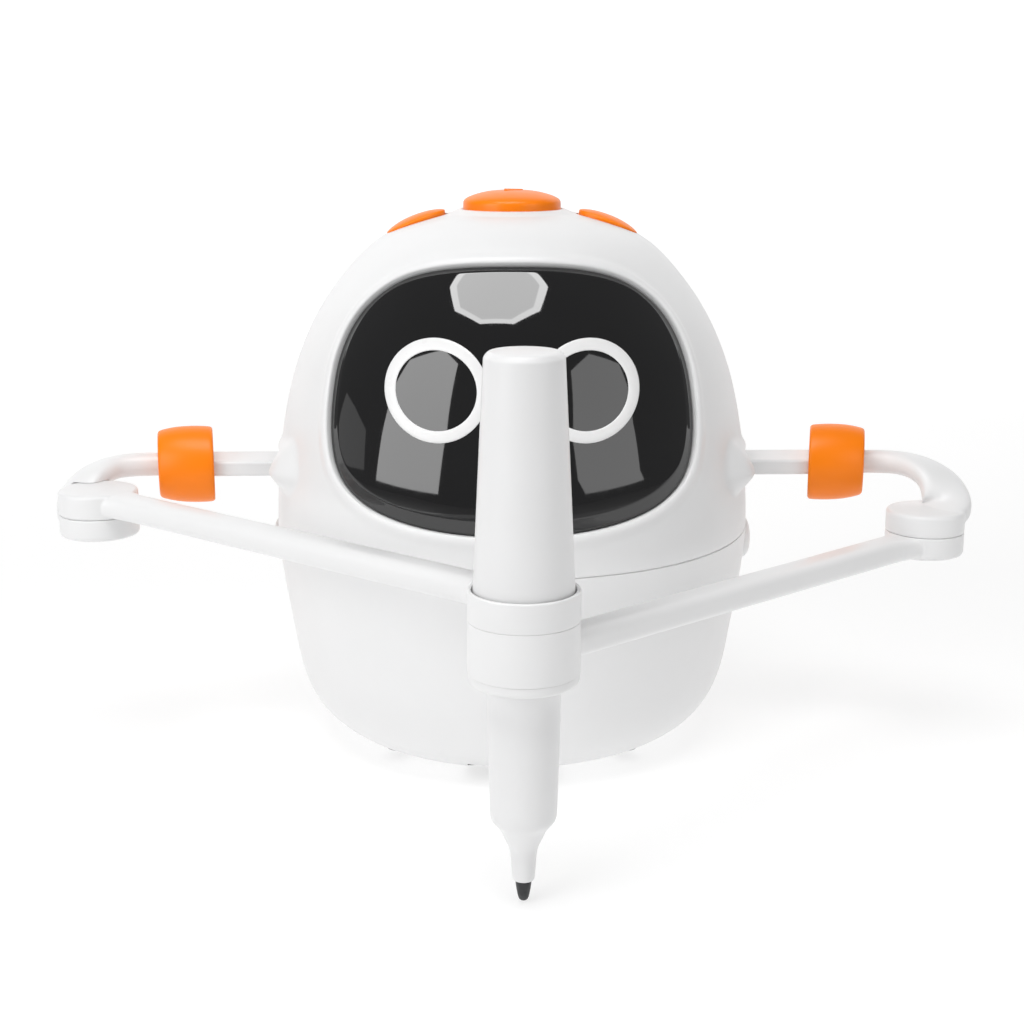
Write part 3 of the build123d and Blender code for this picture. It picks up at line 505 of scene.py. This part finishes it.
# ------------------------------------------------------------------ face window: crown, fine bevel, rolled edge
def build_lens():
    N, M = 420, 46
    c = np.array([0.0, s_of_z(102.0)])
    p, _ = visor_loop(N, 0.45)
    th, s = xz_to_ts(p)
    R = 62.0
    A = np.stack([th * R, s], 1)
    g = np.roll(A, -1, 0) - np.roll(A, 1, 0)
    g /= np.linalg.norm(g, axis=1)[:, None]
    nrm = np.stack([g[:, 1], -g[:, 0]], 1)
    prof = [(0.0, -2.45), (0.0, -1.5), (0.02, -1.22), (0.1, -1.08), (0.24, -1.0), (0.7, -0.93), (1.5, -0.82), (2.3, -0.7), (2.9, -0.615),
            (3.15, -0.572), (3.3, -0.545), (3.42, -0.525), (3.56, -0.511), (3.75, -0.503), (4.1, -0.5), (4.8, -0.5), (5.8, -0.5)]
    zz = np.interp(A[:, 1], _s, PC[:, 1])
    narrow = (1.0 - 0.42 * smooth01((zz - 118.0) / 13.0))[:, None]
    rings = [(A - nrm * d * (narrow if d > 0.3 else 1.0), h) for d, h in prof]
    last = rings[-1][0]
    for j in range(1, M):
        t = j / M
        rings.append((last + (c - last) * t, -0.5))
    verts, faces = [], []
    for q, h in rings:
        verts += list(skin(q[:, 0] / R, q[:, 1], np.full(N, h)))
    K = len(rings)
    for j in range(K - 1):
        for i in range(N):
            i2 = (i + 1) % N
            faces.append((j * N + i, j * N + i2, (j + 1) * N + i2, (j + 1) * N + i))
    top = len(verts)
    verts.append(skin(np.array([0.0]), np.array([c[1]]), np.array([-0.5]))[0])
    for i in range(N):
        faces.append(((K - 1) * N + i, (K - 1) * N + (i + 1) % N, top))
    base = len(verts)
    rows = [0.0, 0.25, 0.5, 0.75]
    for t in rows[1:]:
        q = A + (c - A) * t
        verts += list(skin(q[:, 0] / R, q[:, 1], np.full(N, -2.45)))
    idx = [0] + [base + k * N for k in range(3)]
    for a, b in zip(idx[:-1], idx[1:]):
        for i in range(N):
            i2 = (i + 1) % N
            faces.append((a + i, b + i, b + i2, a + i2))
    back = len(verts)
    verts.append(skin(np.array([0.0]), np.array([c[1]]), np.array([-2.45]))[0])
    for i in range(N):
        faces.append((idx[-1] + i, back, idx[-1] + (i + 1) % N))
    return verts, faces


V, F = build_lens()
lens = add_mesh("visor_window", V, F, "black_lens", weld=1e-6, angle=40)
own(lens, "root", "black_lens", "visor_lens")

for sgn, side in ((-1, "left"), (1, "right")):
    N = 160
    prof = [(0.0, -1.2), (0.0, -0.52), (0.06, -0.43), (0.18, -0.36), (0.42, -0.31), (0.8, -0.28), (1.22, -0.27), (1.65, -0.28), (2.03, -0.31), (2.27, -0.36),
            (2.39, -0.43), (2.45, -0.52), (2.45, -1.2)]
    q = np.linspace(0, 2 * math.pi, N, endpoint=False)
    verts, faces = [], []
    for d, h in prof:
        p = np.stack([sgn * 18.9 + (13.15 - d * 1.2) * np.cos(q), 105.6 + (12.45 - d * 1.2) * np.sin(q)], 1)
        th, s = xz_to_ts(p)
        verts += list(skin(th, s, np.full(N, h)))
    K = len(prof)
    for j in range(K):
        j2 = (j + 1) % K
        for i in range(N):
            i2 = (i + 1) % N
            faces.append((j * N + i, j * N + i2, j2 * N + i2, j2 * N + i))
    ring = add_mesh(side + "_eye_light", verts, faces, "light_ring", weld=1e-6, angle=50)
    own(ring, "root", "light_ring", side + "_eye_ring")


# ------------------------------------------------------------------ turned pieces
def rounded(pts, k=5):
    """Closed (r, z) polygon whose corners with a third number are rounded to that radius."""
    out, n = [], len(pts)
    for i, p in enumerate(pts):
        r = p[2] if len(p) > 2 else 0.0
        P = np.array(p[:2], float)
        A, B = np.array(pts[i - 1][:2], float), np.array(pts[(i + 1) % n][:2], float)
        if r <= 0:
            out.append(tuple(P))
            continue
        u, v = (A - P), (B - P)
        lu, lv = np.linalg.norm(u), np.linalg.norm(v)
        u, v = u / lu, v / lv
        cosang = float(np.clip(u @ v, -1, 1))
        half = math.acos(cosang) / 2
        d = min(r / math.tan(half), lu * 0.49, lv * 0.49)
        for j in range(k + 1):
            t = j / k
            a, b = P + u * d, P + v * d
            q = (1 - t) ** 2 * a + 2 * t * (1 - t) * P + t * t * b
            out.append((float(q[0]), float(q[1])))
    return out


def revolve(name, prof, mat, n=144, cx=0.0, cy=0.0, angle=50, matrix=None):
    """Closed turned piece. A point on the axis has r = 0."""
    verts, faces, rows = [], [], []
    for r, z in prof:
        if r < 1e-6:
            rows.append((len(verts), 1))
            verts.append((cx, cy, z))
        else:
            rows.append((len(verts), n))
            for i in range(n):
                a = 2 * math.pi * i / n
                verts.append((cx + r * math.cos(a), cy + r * math.sin(a), z))
    K = len(prof)
    for j in range(K):
        (a, na), (b, nb) = rows[j], rows[(j + 1) % K]
        if na == 1 and nb == 1:
            continue
        for i in range(n):
            i2 = (i + 1) % n
            if na == 1:
                faces.append((a, b + i2, b + i))
            elif nb == 1:
                faces.append((a + i, a + i2, b))
            else:
                faces.append((a + i, a + i2, b + i2, b + i))
    if matrix is not None:
        verts = [tuple(matrix @ Vector(v)) for v in verts]
    return add_mesh(name, verts, faces, mat, weld=1e-6, angle=angle)


PX, PY = 2.5733, -117.9249
SX, SY, TURN = 40.0, -2.0, math.radians(1.8)
EL, ER = (-110.6489, -25.4307), (111.9807, -20.9484)
PEN = dict(cx=PX, cy=PY)

pen_grip = revolve("marker_cap", rounded([
    (0, 124.6), (7.6, 124.6, 1.4), (8.62, 123.3, 1.2), (8.72, 121.0), (9.35, 108.6), (9.96, 96.0), (10.55, 83.6), (11.08, 72.3), (10.98, 71.62, 0.3), (8.6, 71.6), (8.6, 76.0),
    (9.15, 76.0), (7.0, 122.6), (0, 122.6)]), "pen_white", **PEN)
own(pen_grip, "pen", "pen_white", "pen_grip")
brl = [(8.17, 52.0), (8.0, 44.0), (7.72, 32.0), (7.47, 22.3), (7.36, 21.1), (7.08, 20.25), (6.55, 19.5), (5.85, 18.75), (5.2, 17.8), (4.7, 16.8), (4.3, 15.8), (3.85, 14.85),
       (3.42, 13.95), (3.15, 13.0), (2.98, 12.0), (2.86, 10.8), (2.76, 9.2), (2.66, 7.7), (2.56, 6.5), (2.49, 5.98), (2.34, 5.74), (2.1, 5.7)]
barrel = revolve("marker_barrel", [(0, 98.0), (5.2, 98.0), (5.2, 76.0), (8.17, 76.0)] + brl + [(1.9, 5.7), (1.9, 16.0), (3.0, 17.5), (4.5, 21.5), (5.0, 24.0), (5.0, 74.0), (4.2, 75.0),
                 (4.2, 96.8), (0, 96.8)], "pen_white", **PEN)
own(barrel, "pen", "pen_white", "pen_barrel")
nib = revolve("marker_nib", [(0, 0.5), (0.4, 0.54), (0.75, 0.7), (1.02, 1.0), (1.22, 1.5), (1.4, 2.3), (1.58, 3.3), (1.74, 4.4), (1.85, 5.4), (1.88, 6.2), (1.88, 24.0), (0, 24.0)],
              "nib_felt", n=72, **PEN)
own(nib, "pen", "nib_felt", "pen_nib")
sleeve = revolve("pen_sleeve_tube", rounded([(9.1, 52.7), (9.1, 71.5, 0.25), (8.25, 71.5, 0.25), (8.25, 52.7)]), "white_arm", **PEN)
own(sleeve, "left_forearm", "white_arm", "pen_sleeve")
ret = revolve("collar_nut", rounded([(8.35, 52.4, 0.3), (12.2, 52.4, 1.3), (12.2, 54.83, 0.14), (9.1, 54.83), (9.1, 52.7), (8.35, 52.7)]), "white_arm", **PEN)
own(ret, "left_forearm", "white_arm", "retaining_ring")
ring1 = revolve("collar_upper", rounded([(9.1, 66.67), (12.35, 66.67, 0.14), (12.35, 73.35, 0.45), (11.4, 73.35, 0.3), (11.4, 71.5), (9.1, 71.5)]), "white_arm", **PEN)
own(ring1, "left_forearm", "white_arm")
ring2 = revolve("collar_lower", rounded([(11.2, 54.87), (12.35, 54.87, 0.14), (12.35, 66.63, 0.14), (11.2, 66.63)]), "white_arm", **PEN)
own(ring2, "right_forearm", "white_arm")


def arm_frame(side):
    s = 1 if side == "right" else -1
    return Matrix.Translation((s * SX, SY, 0)) @ Matrix.Rotation(TURN, 4, "Z") @ Matrix.Translation((-s * SX, -SY, 0))


BY, BAR_Z = -4.0, 76.4
for side, s in (("right", 1), ("left", -1)):
    # cuff: a barrel along the arm with rolled ends
    half = [(0, 83.0), (9.3, 83.0), (9.8, 83.05), (10.13, 83.25), (10.34, 83.6), (10.45, 84.2), (10.53, 85.2), (10.6, 87.0), (10.61, 88.8), (10.52, 91.0), (10.32, 93.2), (9.98, 95.2),
            (9.62, 96.7), (9.45, 97.3), (9.24, 97.8), (8.95, 98.1), (8.5, 98.27), (7.8, 98.3), (0, 98.3)]
    base = arm_frame(side) @ Matrix.Translation((0, BY, BAR_Z)) @ Matrix.Rotation(math.radians(90) * s, 4, "Y")
    lean = Matrix.Identity(4)
    slope = 0.215 if side == "right" else 0.15
    lean[0][1] = s * slope
    lean[0][3] = -s * slope * (BY + 1.5 * s)
    cuff = revolve(side + "_grip_cuff", half, "orange_rubber", n=160, matrix=lean @ base, angle=60)
    own(cuff, side + "_upper_arm", "orange_rubber", side + "_arm_cuff")


# ------------------------------------------------------------------ melted pieces: sweeps and discs joined by a fine remesh
def tube(name, stations, n=48):
    """Sweep: stations are (centre, width vector, height vector, squareness)."""
    verts, faces = [], []
    for c, wv, hv, sq in stations:
        for i in range(n):
            a = 2 * math.pi * i / n
            ca, sa = math.cos(a), math.sin(a)
            e = 2.0 / sq
            u = math.copysign(abs(ca) ** e, ca)
            v = math.copysign(abs(sa) ** e, sa)
            verts.append(tuple(np.array(c) + np.array(wv) * u + np.array(hv) * v))
    K = len(stations)
    for j in range(K - 1):
        for i in range(n):
            i2 = (i + 1) % n
            faces.append((j * n + i, j * n + i2, (j + 1) * n + i2, (j + 1) * n + i))
    faces.append(tuple(range(n))[::-1])
    faces.append(tuple(range((K - 1) * n, K * n)))
    return add_mesh(name, verts, faces, None, weld=1e-7)


def melt(name, pieces, voxel, passes, mat):
    """One skin round several overlapping pieces, its inner corners filled and its edges softened."""
    bpy.ops.object.select_all(action="DESELECT")
    for p in pieces:
        p.select_set(True)
    bpy.context.view_layer.objects.active = pieces[0]
    bpy.ops.object.join()
    o = pieces[0]
    o.name = name
    o.data.name = name
    m = o.modifiers.new("skin", "REMESH")
    m.mode = "VOXEL"
    m.voxel_size = voxel * MM
    m.use_smooth_shade = True
    if passes:
        sm = o.modifiers.new("soft", "SMOOTH")
        sm.factor = 0.5
        sm.iterations = passes
    bake(o)
    for p in o.data.polygons:
        p.use_smooth = True
    o.data.materials.clear()
    o.data.materials.append(MATS[mat])
    return o


def resample(rows, n):
    """Smooth curve through rows of numbers, n rows back."""
    f, L = spline_fn(rows)
    return f(np.linspace(0, L, n))


def build_hook(side):
    s = 1 if side == "right" else -1
    # x, y, z, plan width, height, squareness
    st = [(91.7, BY, BAR_Z, 6.5, 6.5, 2.0), (99.5, BY, BAR_Z, 6.5, 6.5, 2.0), (104.0, BY - 0.5, BAR_Z, 6.9, 6.5, 2.0), (108.6, BY - 2.0, BAR_Z - 0.15, 8.6, 6.4, 2.2),
          (113.0, BY - 4.8, BAR_Z - 1.1, 11.0, 6.3, 2.5), (116.5, BY - 8.8, BAR_Z - 3.2, 12.4, 6.1, 2.8),
          (118.1, BY - 13.0, BAR_Z - 6.6, 13.0, 6.0, 3.2), (117.4, BY - 17.0, BAR_Z - 10.2, 13.2, 5.9, 3.6),
          (114.0, BY - 19.6, BAR_Z - 11.9, 13.0, 5.8, 3.8)]
    if side == "left":
        st = [q[:3] + (q[3] * (0.8 if q[0] > 105 else 1.0),) + q[4:] for q in st]
    rows = resample(st, 60)
    stations = []
    for i, r in enumerate(rows):
        a, b = rows[max(i - 1, 0)], rows[min(i + 1, len(rows) - 1)]
        t = np.array([b[0] - a[0], b[1] - a[1], (b[2] - a[2]) * 0.55])
        t /= np.linalg.norm(t)
        w = np.array([t[1], -t[0], 0.0])
        w /= np.linalg.norm(w)
        h = np.cross(w, t)
        if h[2] < 0:
            h = -h
        c = np.array(r[:3])
        c[0] *= s
        wv, hv = w * r[3] / 2, h * r[4] / 2
        wv[0] *= s
        hv[0] *= s
        stations.append((c, wv, hv, r[5]))
    tb = tube("hook_sweep", stations)
    EX, EY = 111.35 * s, -23.2
    low, top = (61.5, 67.45) if side == "right" else (61.6, 67.55)
    edge = 1.15 if side == "right" else 0.2
    disc = revolve("hook_disc", rounded([(0, low), (10.5, low, 0.18 if side == "right" else 1.3), (10.5, top, edge), (0, top)], 8), None, n=128, cx=EX, cy=EY)
    o = melt(side + "_hooked_arm", [tb, disc], 0.27, 8, "white_arm")
    # keep the joint faces flat and clear of the other disc
    co = np.zeros(len(o.data.vertices) * 3)
    o.data.vertices.foreach_get("co", co)
    co = co.reshape(-1, 3)
    co[:, 2] = np.maximum(co[:, 2], low * MM)
    o.data.vertices.foreach_set("co", co.ravel())
    o.data.update()
    if side == "left":
        # seat for the link's own disc
        seat = revolve("seat", [(0, top), (10.9, top), (10.9, 74.12), (0, 74.12)], None, n=160, cx=EX, cy=EY)
        cut(o, [seat])
        sharpen(o, 40)
    m = arm_frame(side)
    m = Matrix.Translation(m.translation * MM) @ m.to_3x3().to_4x4()
    o.data.transform(m)
    o.data.update()
    return own(o, side + "_upper_arm", "white_arm", side + "_upper_arm")


for side in ("right", "left"):
    build_hook(side)


def build_forearm(side):
    e = ER if side == "right" else EL
    zc = 58.6 if side == "right" else 70.8
    z0, z1 = (55.2, 61.48) if side == "right" else (67.57, 74.0)
    d = np.array([PX - e[0], PY - e[1]])
    L = np.linalg.norm(d)
    d /= L
    wdir = np.array([d[1], -d[0], 0.0])
    stations = []
    t_end = L - 11.6
    for t in [2.0, 6.0, 8.5, 9.6, 10.6, 11.8, 13.2, 15.0, 17.5, 20.0] + list(np.linspace(24, t_end - 4.5, 24)) + [t_end - 2.6, t_end - 1.3, t_end - 0.5, t_end]:
        flare = 1.5 * max(0.0, (17.5 - t) / 9.0) ** 2 if t < 17.5 else 0.0
        flare = min(flare, 1.6)
        near = max(0.0, (t - (t_end - 3.2)) / 3.2)
        flare += 0.7 * near ** 2
        c = (e[0] + d[0] * t, e[1] + d[1] * t, zc)
        hh = 3.25 - 0.12 * min(1.0, max(0.0, (11 - t) / 2))
        stations.append((c, wdir * (4.5 + flare), np.array([0, 0, hh]), 3.0))
    tb = tube("forearm_sweep", stations, 56)
    lo_r, hi_r = (1.3, 0.18) if side == "right" else (0.18, 1.2)
    disc = revolve("forearm_disc", rounded([(0, z0), (10.5, z0, lo_r), (10.5, z1, hi_r), (0, z1)], 8), None, n=128, cx=e[0], cy=e[1])
    o = melt(side + "_link", [tb, disc], 0.27, 5, "white_arm")
    co = np.zeros(len(o.data.vertices) * 3)
    o.data.vertices.foreach_get("co", co)
    co = co.reshape(-1, 3)
    rr = np.hypot(co[:, 0] - e[0] * MM, co[:, 1] - e[1] * MM)
    if side == "right":
        co[:, 2] = np.where(rr < 11.4 * MM, np.minimum(co[:, 2], z1 * MM), co[:, 2])
    else:
        co[:, 2] = np.where(rr < 11.4 * MM, np.maximum(co[:, 2], z0 * MM), co[:, 2])
    o.data.vertices.foreach_set("co", co.ravel())
    o.data.update()
    return own(o, side + "_forearm", "white_arm", side + "_forearm")


for side in ("right", "left"):
    build_forearm(side)


# ------------------------------------------------------------------ buttons, with softened edges
def soft_copy(node, name, voxel, passes, mat):
    o = NODES[node].copy()
    o.data = NODES[node].data.copy()
    for k in list(o.keys()):
        del o[k]
    o.parent = None
    scene.collection.objects.link(o)
    o.hide_render = False
    m = melt(name, [o], voxel, passes, mat)
    return own(m, BODY_OF[node], mat, node)


dome = revolve("dome_button", [(0, 138.2), (3.0, 138.2), (3.0, 139.7), (14.35, 139.7), (14.35, 141.15), (13.25, 141.2), (13.25, 147.3), (13.22, 147.9), (13.1, 148.25), (12.85, 148.6), (12.4, 148.95), (11.7, 149.32), (10.8, 149.68),
              (9.6, 150.07), (8.2, 150.43), (6.6, 150.76), (4.8, 150.97), (3.0, 151.09), (1.4, 151.15), (0, 151.16)], "orange_plastic", n=160, angle=45)
own(dome, BODY_OF["start_button"], "orange_plastic", "start_button")


tri = [(-2.3, -3.1), (3.3, 0.0), (-2.3, 3.1)]
mark = prism("play_mark", ([(u, v, 150.4) for u, v in tri], [(u * 0.93, v * 0.93, 151.38) for u, v in tri]), None, None)
bv = mark.modifiers.new("soft", "BEVEL")
bv.width, bv.segments, bv.limit_method = 0.00022, 3, "ANGLE"
bake(mark)
mark.data.materials.clear()
mark.data.materials.append(MATS["orange_plastic"])
own(mark, BODY_OF["start_button"], "orange_plastic")


def side_dome(side):
    """Thin oval cap that follows the crown's own slope."""
    s = 1 if side == "right" else -1
    up = PC[:, 1] > 100
    r_of, s_of = PC[up, 0][::-1], _s[up][::-1]
    verts, faces, N = [], [], 96
    rows = [(1.0, -2.2), (1.0, -0.1), (0.996, 0.08), (0.985, 0.2), (0.965, 0.3), (0.93, 0.41), (0.88, 0.53), (0.8, 0.69), (0.68, 0.87), (0.54, 1.02), (0.38, 1.13), (0.2, 1.2)]
    q = np.linspace(0, 2 * math.pi, N, endpoint=False)
    for f, h in rows:
        x = s * 26.0 + 8.45 * f * np.cos(q) * math.cos(tilt)
        y = -1.0 + 5.55 * f * np.sin(q)
        sv = np.interp(np.hypot(x, y), r_of, s_of)
        verts += list(skin(np.arctan2(x, -y), sv, np.full(N, h) + (0.5 * (1 - s * f * np.cos(q)) if h > -1 else 0.0)))
    for h in (1.72, -2.2):
        x, y = s * 26.0, -1.0
        sv = np.interp(np.hypot(x, y), r_of, s_of)
        verts.append(skin(np.array([math.atan2(x, -y)]), np.array([sv]), np.array([h]))[0])
    K = len(rows)
    for j in range(K - 1):
        for i in range(N):
            i2 = (i + 1) % N
            faces.append((j * N + i, j * N + i2, (j + 1) * N + i2, (j + 1) * N + i))
    for i in range(N):
        i2 = (i + 1) % N
        faces.append(((K - 1) * N + i, (K - 1) * N + i2, K * N))
        faces.append((i2, i, K * N + 1))
    o = add_mesh(side + "_dome_button", verts, faces, "orange_plastic", weld=1e-6, angle=50)
    return own(o, BODY_OF[side + "_button"], "orange_plastic", side + "_button")


side_dome("left")
side_dome("right")


# ------------------------------------------------------------------ studio
def emitter(name, verts, faces, strength, tint=(1, 1, 1)):
    me = bpy.data.meshes.new(name)
    me.from_pydata(verts, [], faces)
    me.update()
    o = bpy.data.objects.new(name, me)
    scene.collection.objects.link(o)
    m = bpy.data.materials.new(name + "Glow")
    m.use_nodes = True
    nt = m.node_tree
    for n in list(nt.nodes):
        nt.nodes.remove(n)
    out = nt.nodes.new("ShaderNodeOutputMaterial")
    em = nt.nodes.new("ShaderNodeEmission")
    em.inputs["Color"].default_value = (*tint, 1)
    em.inputs["Strength"].default_value = strength
    nt.links.new(em.outputs["Emission"], out.inputs["Surface"])
    me.materials.append(m)
    return o


def aimed(name, pts2d, centre, look_at, strength, roll=0.0):
    """Flat emitter with the outline pts2d (metres), its face turned to look_at."""
    c = Vector(centre)
    z = (Vector(look_at) - c).normalized()
    up = Vector((0, 0, 1)) if abs(z.z) < 0.95 else Vector((0, 1, 0))
    x = up.cross(z).normalized()
    y = z.cross(x)
    cr, sr = math.cos(roll), math.sin(roll)
    verts = [tuple(c + x * (a * cr - b * sr) + y * (a * sr + b * cr)) for a, b in pts2d]
    return emitter(name, verts, [tuple(range(len(verts)))], strength)


def rect(w, h):
    return [(-w / 2, -h / 2), (w / 2, -h / 2), (w / 2, h / 2), (-w / 2, h / 2)]


def octagon(r):
    return [(r * math.cos(math.radians(22.5 + 45 * k)), r * math.sin(math.radians(22.5 + 45 * k))) for k in range(8)]


# each panel's corners: direction of view from the window (azimuth left of the front, elevation), and a strength
def panel(name, corners, dist, lo, hi, origin=(0.0, -0.05, 0.095)):
    """Softbox whose corners lie in the given directions; its glow grows from lo at the top to hi at the bottom."""
    verts = []
    for az, el, ox, oy, oz in corners:
        a, e = math.radians(az), math.radians(el)
        d = Vector((math.sin(a) * math.cos(e), -math.cos(a) * math.cos(e), math.sin(e)))
        verts.append(tuple(Vector((ox, oy, oz)) * MM + d * dist))
    o = emitter(name, verts, [tuple(range(len(verts)))], 1.0)
    nt = o.data.materials[0].node_tree
    em = [n for n in nt.nodes if n.type == "EMISSION"][0]
    tcn = nt.nodes.new("ShaderNodeTexCoord")
    sp = nt.nodes.new("ShaderNodeSeparateXYZ")
    mr = nt.nodes.new("ShaderNodeMapRange")
    zs = [v[2] for v in verts]
    mr.inputs["From Min"].default_value = max(zs)
    mr.inputs["From Max"].default_value = min(zs)
    mr.inputs["To Min"].default_value = lo
    mr.inputs["To Max"].default_value = hi
    nt.links.new(tcn.outputs["Object"], sp.inputs["Vector"])
    nt.links.new(sp.outputs["Z"], mr.inputs["Value"])
    nt.links.new(mr.outputs["Result"], em.inputs["Strength"])
    return o


LIGHT = 0.68
# octagonal box overhead, brighter at its rim
octo = [(-75.4, 62.6, -15.5, -42, 129.5), (-86.7, 68.6, -13, -39.6, 133), (-80.1, 74.6, -9.3, -40.1, 133.5), (61.9, 80.1, 5.3, -40.7, 133.6),
        (51.2, 69.8, 9, -43.7, 129.7), (28.2, 62.9, 6.9, -48.4, 124.3), (1.7, 58.3, 0.5, -50.8, 121.4), (-27.2, 56.7, -7.9, -50.3, 121.3), (-53.9, 58.2, -14.1, -46.9, 124.1)]
vs = []
for az, el, ox, oy, oz in octo:
    a, e = math.radians(az), math.radians(el)
    d = Vector((math.sin(a) * math.cos(e), -math.cos(a) * math.cos(e), math.sin(e)))
    vs.append(Vector((ox, oy, oz)) * MM + d * (0.78 / max(0.2, d.z)))
ctr = sum(vs, Vector()) / len(vs)
inner = [ctr + (v - ctr) * 0.84 for v in vs]
n8 = len(vs)
emitter("Octabox", [tuple(v) for v in inner], [tuple(range(n8))], 9.0 * LIGHT)
emitter("OctaboxRim", [tuple(v) for v in vs] + [tuple(v) for v in inner], [(i, (i + 1) % n8, n8 + (i + 1) % n8, n8 + i) for i in range(n8)], 12.5 * LIGHT)
panel("PanelLeft", [(-44.9, 41.1, -16.8, -51.8, 115.1), (-33.1, 37.3, -13.2, -54.3, 112), (-32.6, 13.9, -15.9, -59, 96.4), (-35.2, 0.2, -18.2, -61.1, 80.8),
                    (-68.3, -0.2, -34, -53.7, 82.7), (-66.9, 12.6, -31.3, -51.9, 98.3), (-66.6, 23.0, -29.1, -50.5, 106.1), (-63.4, 32.6, -25.3, -49.7, 112.3)],
      1.3, 5.6 * LIGHT, 5.0 * LIGHT)
panel("PanelRight", [(35.0, 34.3, 14.5, -54.7, 110.3), (49.5, 38.4, 19, -51.6, 114), (65.4, 30.6, 26.6, -49.6, 111.2), (65.5, 22.3, 28.8, -50.9, 105.4), (63.3, 11.7, 30, -53, 97),
                     (64.1, 2.1, 31.9, -54.5, 85.4), (66.1, 0.3, 33.4, -55.1, 80), (35.0, 0.3, 18.0, -61.5, 80), (31.5, 3.3, 16.2, -61.2, 84.4), (30.1, 10.9, 14.9, -59.8, 93.6)],
      1.3, 2.5 * LIGHT, 2.6 * LIGHT)
panel("SideFlat", [(-96, 12.5, -43, -41, 103), (-88, 11, -40.4, -44.6, 100), (-77.5, 7.3, -36.6, -49.4, 94.5), (-75.8, 0.6, -37.1, -51.2, 84.7), (-88, -0.4, -42.3, -47.2, 84), (-97, 0.5, -44, -42, 86)],
      1.2, 0.65, 0.65)

# floor that sweeps up into the backdrop
fl_v, fl_f = [], []
prof = [(-2.2, 0.0), (-1.0, 0.0), (-0.4, 0.0), (0.0, 0.0), (0.6, 0.0), (1.2, 0.0)]
for k in range(1, 13):
    a = math.radians(7.5 * k)
    prof.append((1.2 + 0.8 * math.sin(a), 0.8 - 0.8 * math.cos(a)))
prof.append((2.0, 2.6))
for i, (y, z) in enumerate(prof):
    for x in (-2.6, -1.2, 0.0, 1.2, 2.6):
        fl_v.append((x, y, z))
for i in range(len(prof) - 1):
    for j in range(4):
        a = i * 5 + j
        fl_f.append((a, a + 1, a + 6, a + 5))
me = bpy.data.meshes.new("Floor")
me.from_pydata(fl_v, [], fl_f)
for p in me.polygons:
    p.use_smooth = True
floor = bpy.data.objects.new("Floor", me)
scene.collection.objects.link(floor)
m, nt, b = new_mat("FloorPaper")
tc = nt.nodes.new("ShaderNodeTexCoord").outputs["Object"]
n1 = noise(nt, tc, 3.0, 3.0)
r1 = ramp(nt, n1.outputs["Fac"], (0.34, 0.34, 0.34), (0.36, 0.36, 0.36))
nt.links.new(r1.outputs["Color"], b.inputs["Base Color"])
b.inputs["Roughness"].default_value = 0.95
b.inputs["Specular IOR Level"].default_value = 0.0
b.inputs["Emission Color"].default_value = (1, 1, 1, 1)
sep = nt.nodes.new("ShaderNodeSeparateXYZ")
glow = nt.nodes.new("ShaderNodeValToRGB")
glow.color_ramp.elements[0].position, glow.color_ramp.elements[0].color = 0.19, (0.15, 0.15, 0.15, 1)
glow.color_ramp.elements[1].position, glow.color_ramp.elements[1].color = 0.285, (0.69, 0.69, 0.69, 1)
for pos, val in ((0.42, 0.69), (0.62, 0.86), (1.0, 0.92)):
    e_ = glow.color_ramp.elements.new(pos)
    e_.color = (val, val, val, 1)
ymap = nt.nodes.new("ShaderNodeMapRange")
ymap.inputs["From Min"].default_value = -1.2
ymap.inputs["From Max"].default_value = 2.0
nt.links.new(tc, sep.inputs["Vector"])
nt.links.new(sep.outputs["Y"], ymap.inputs["Value"])
nt.links.new(ymap.outputs["Result"], glow.inputs["Fac"])
nt.links.new(glow.outputs["Color"], b.inputs["Emission Strength"])
me.materials.append(m)

world = bpy.data.worlds.new("Studio")
scene.world = world
world.use_nodes = True
bg = world.node_tree.nodes["Background"]
bg.inputs["Color"].default_value = (1, 1, 1, 1)
bg.inputs["Strength"].default_value = 0.2

scene.view_settings.view_transform = "Standard"
scene.view_settings.look = "None"
scene.view_settings.exposure = 0.0

cam = bpy.data.cameras.new("Camera")
cam.sensor_width = 36.0
cam.lens = 36.0 * 1700 / 1024
cam.clip_start, cam.clip_end = 0.01, 20
camera = bpy.data.objects.new("Camera", cam)
camera.location = (0, -0.468, 0.1762)
camera.rotation_euler = (math.radians(90 - 13.8), 0, 0)
scene.collection.objects.link(camera)
scene.camera = camera
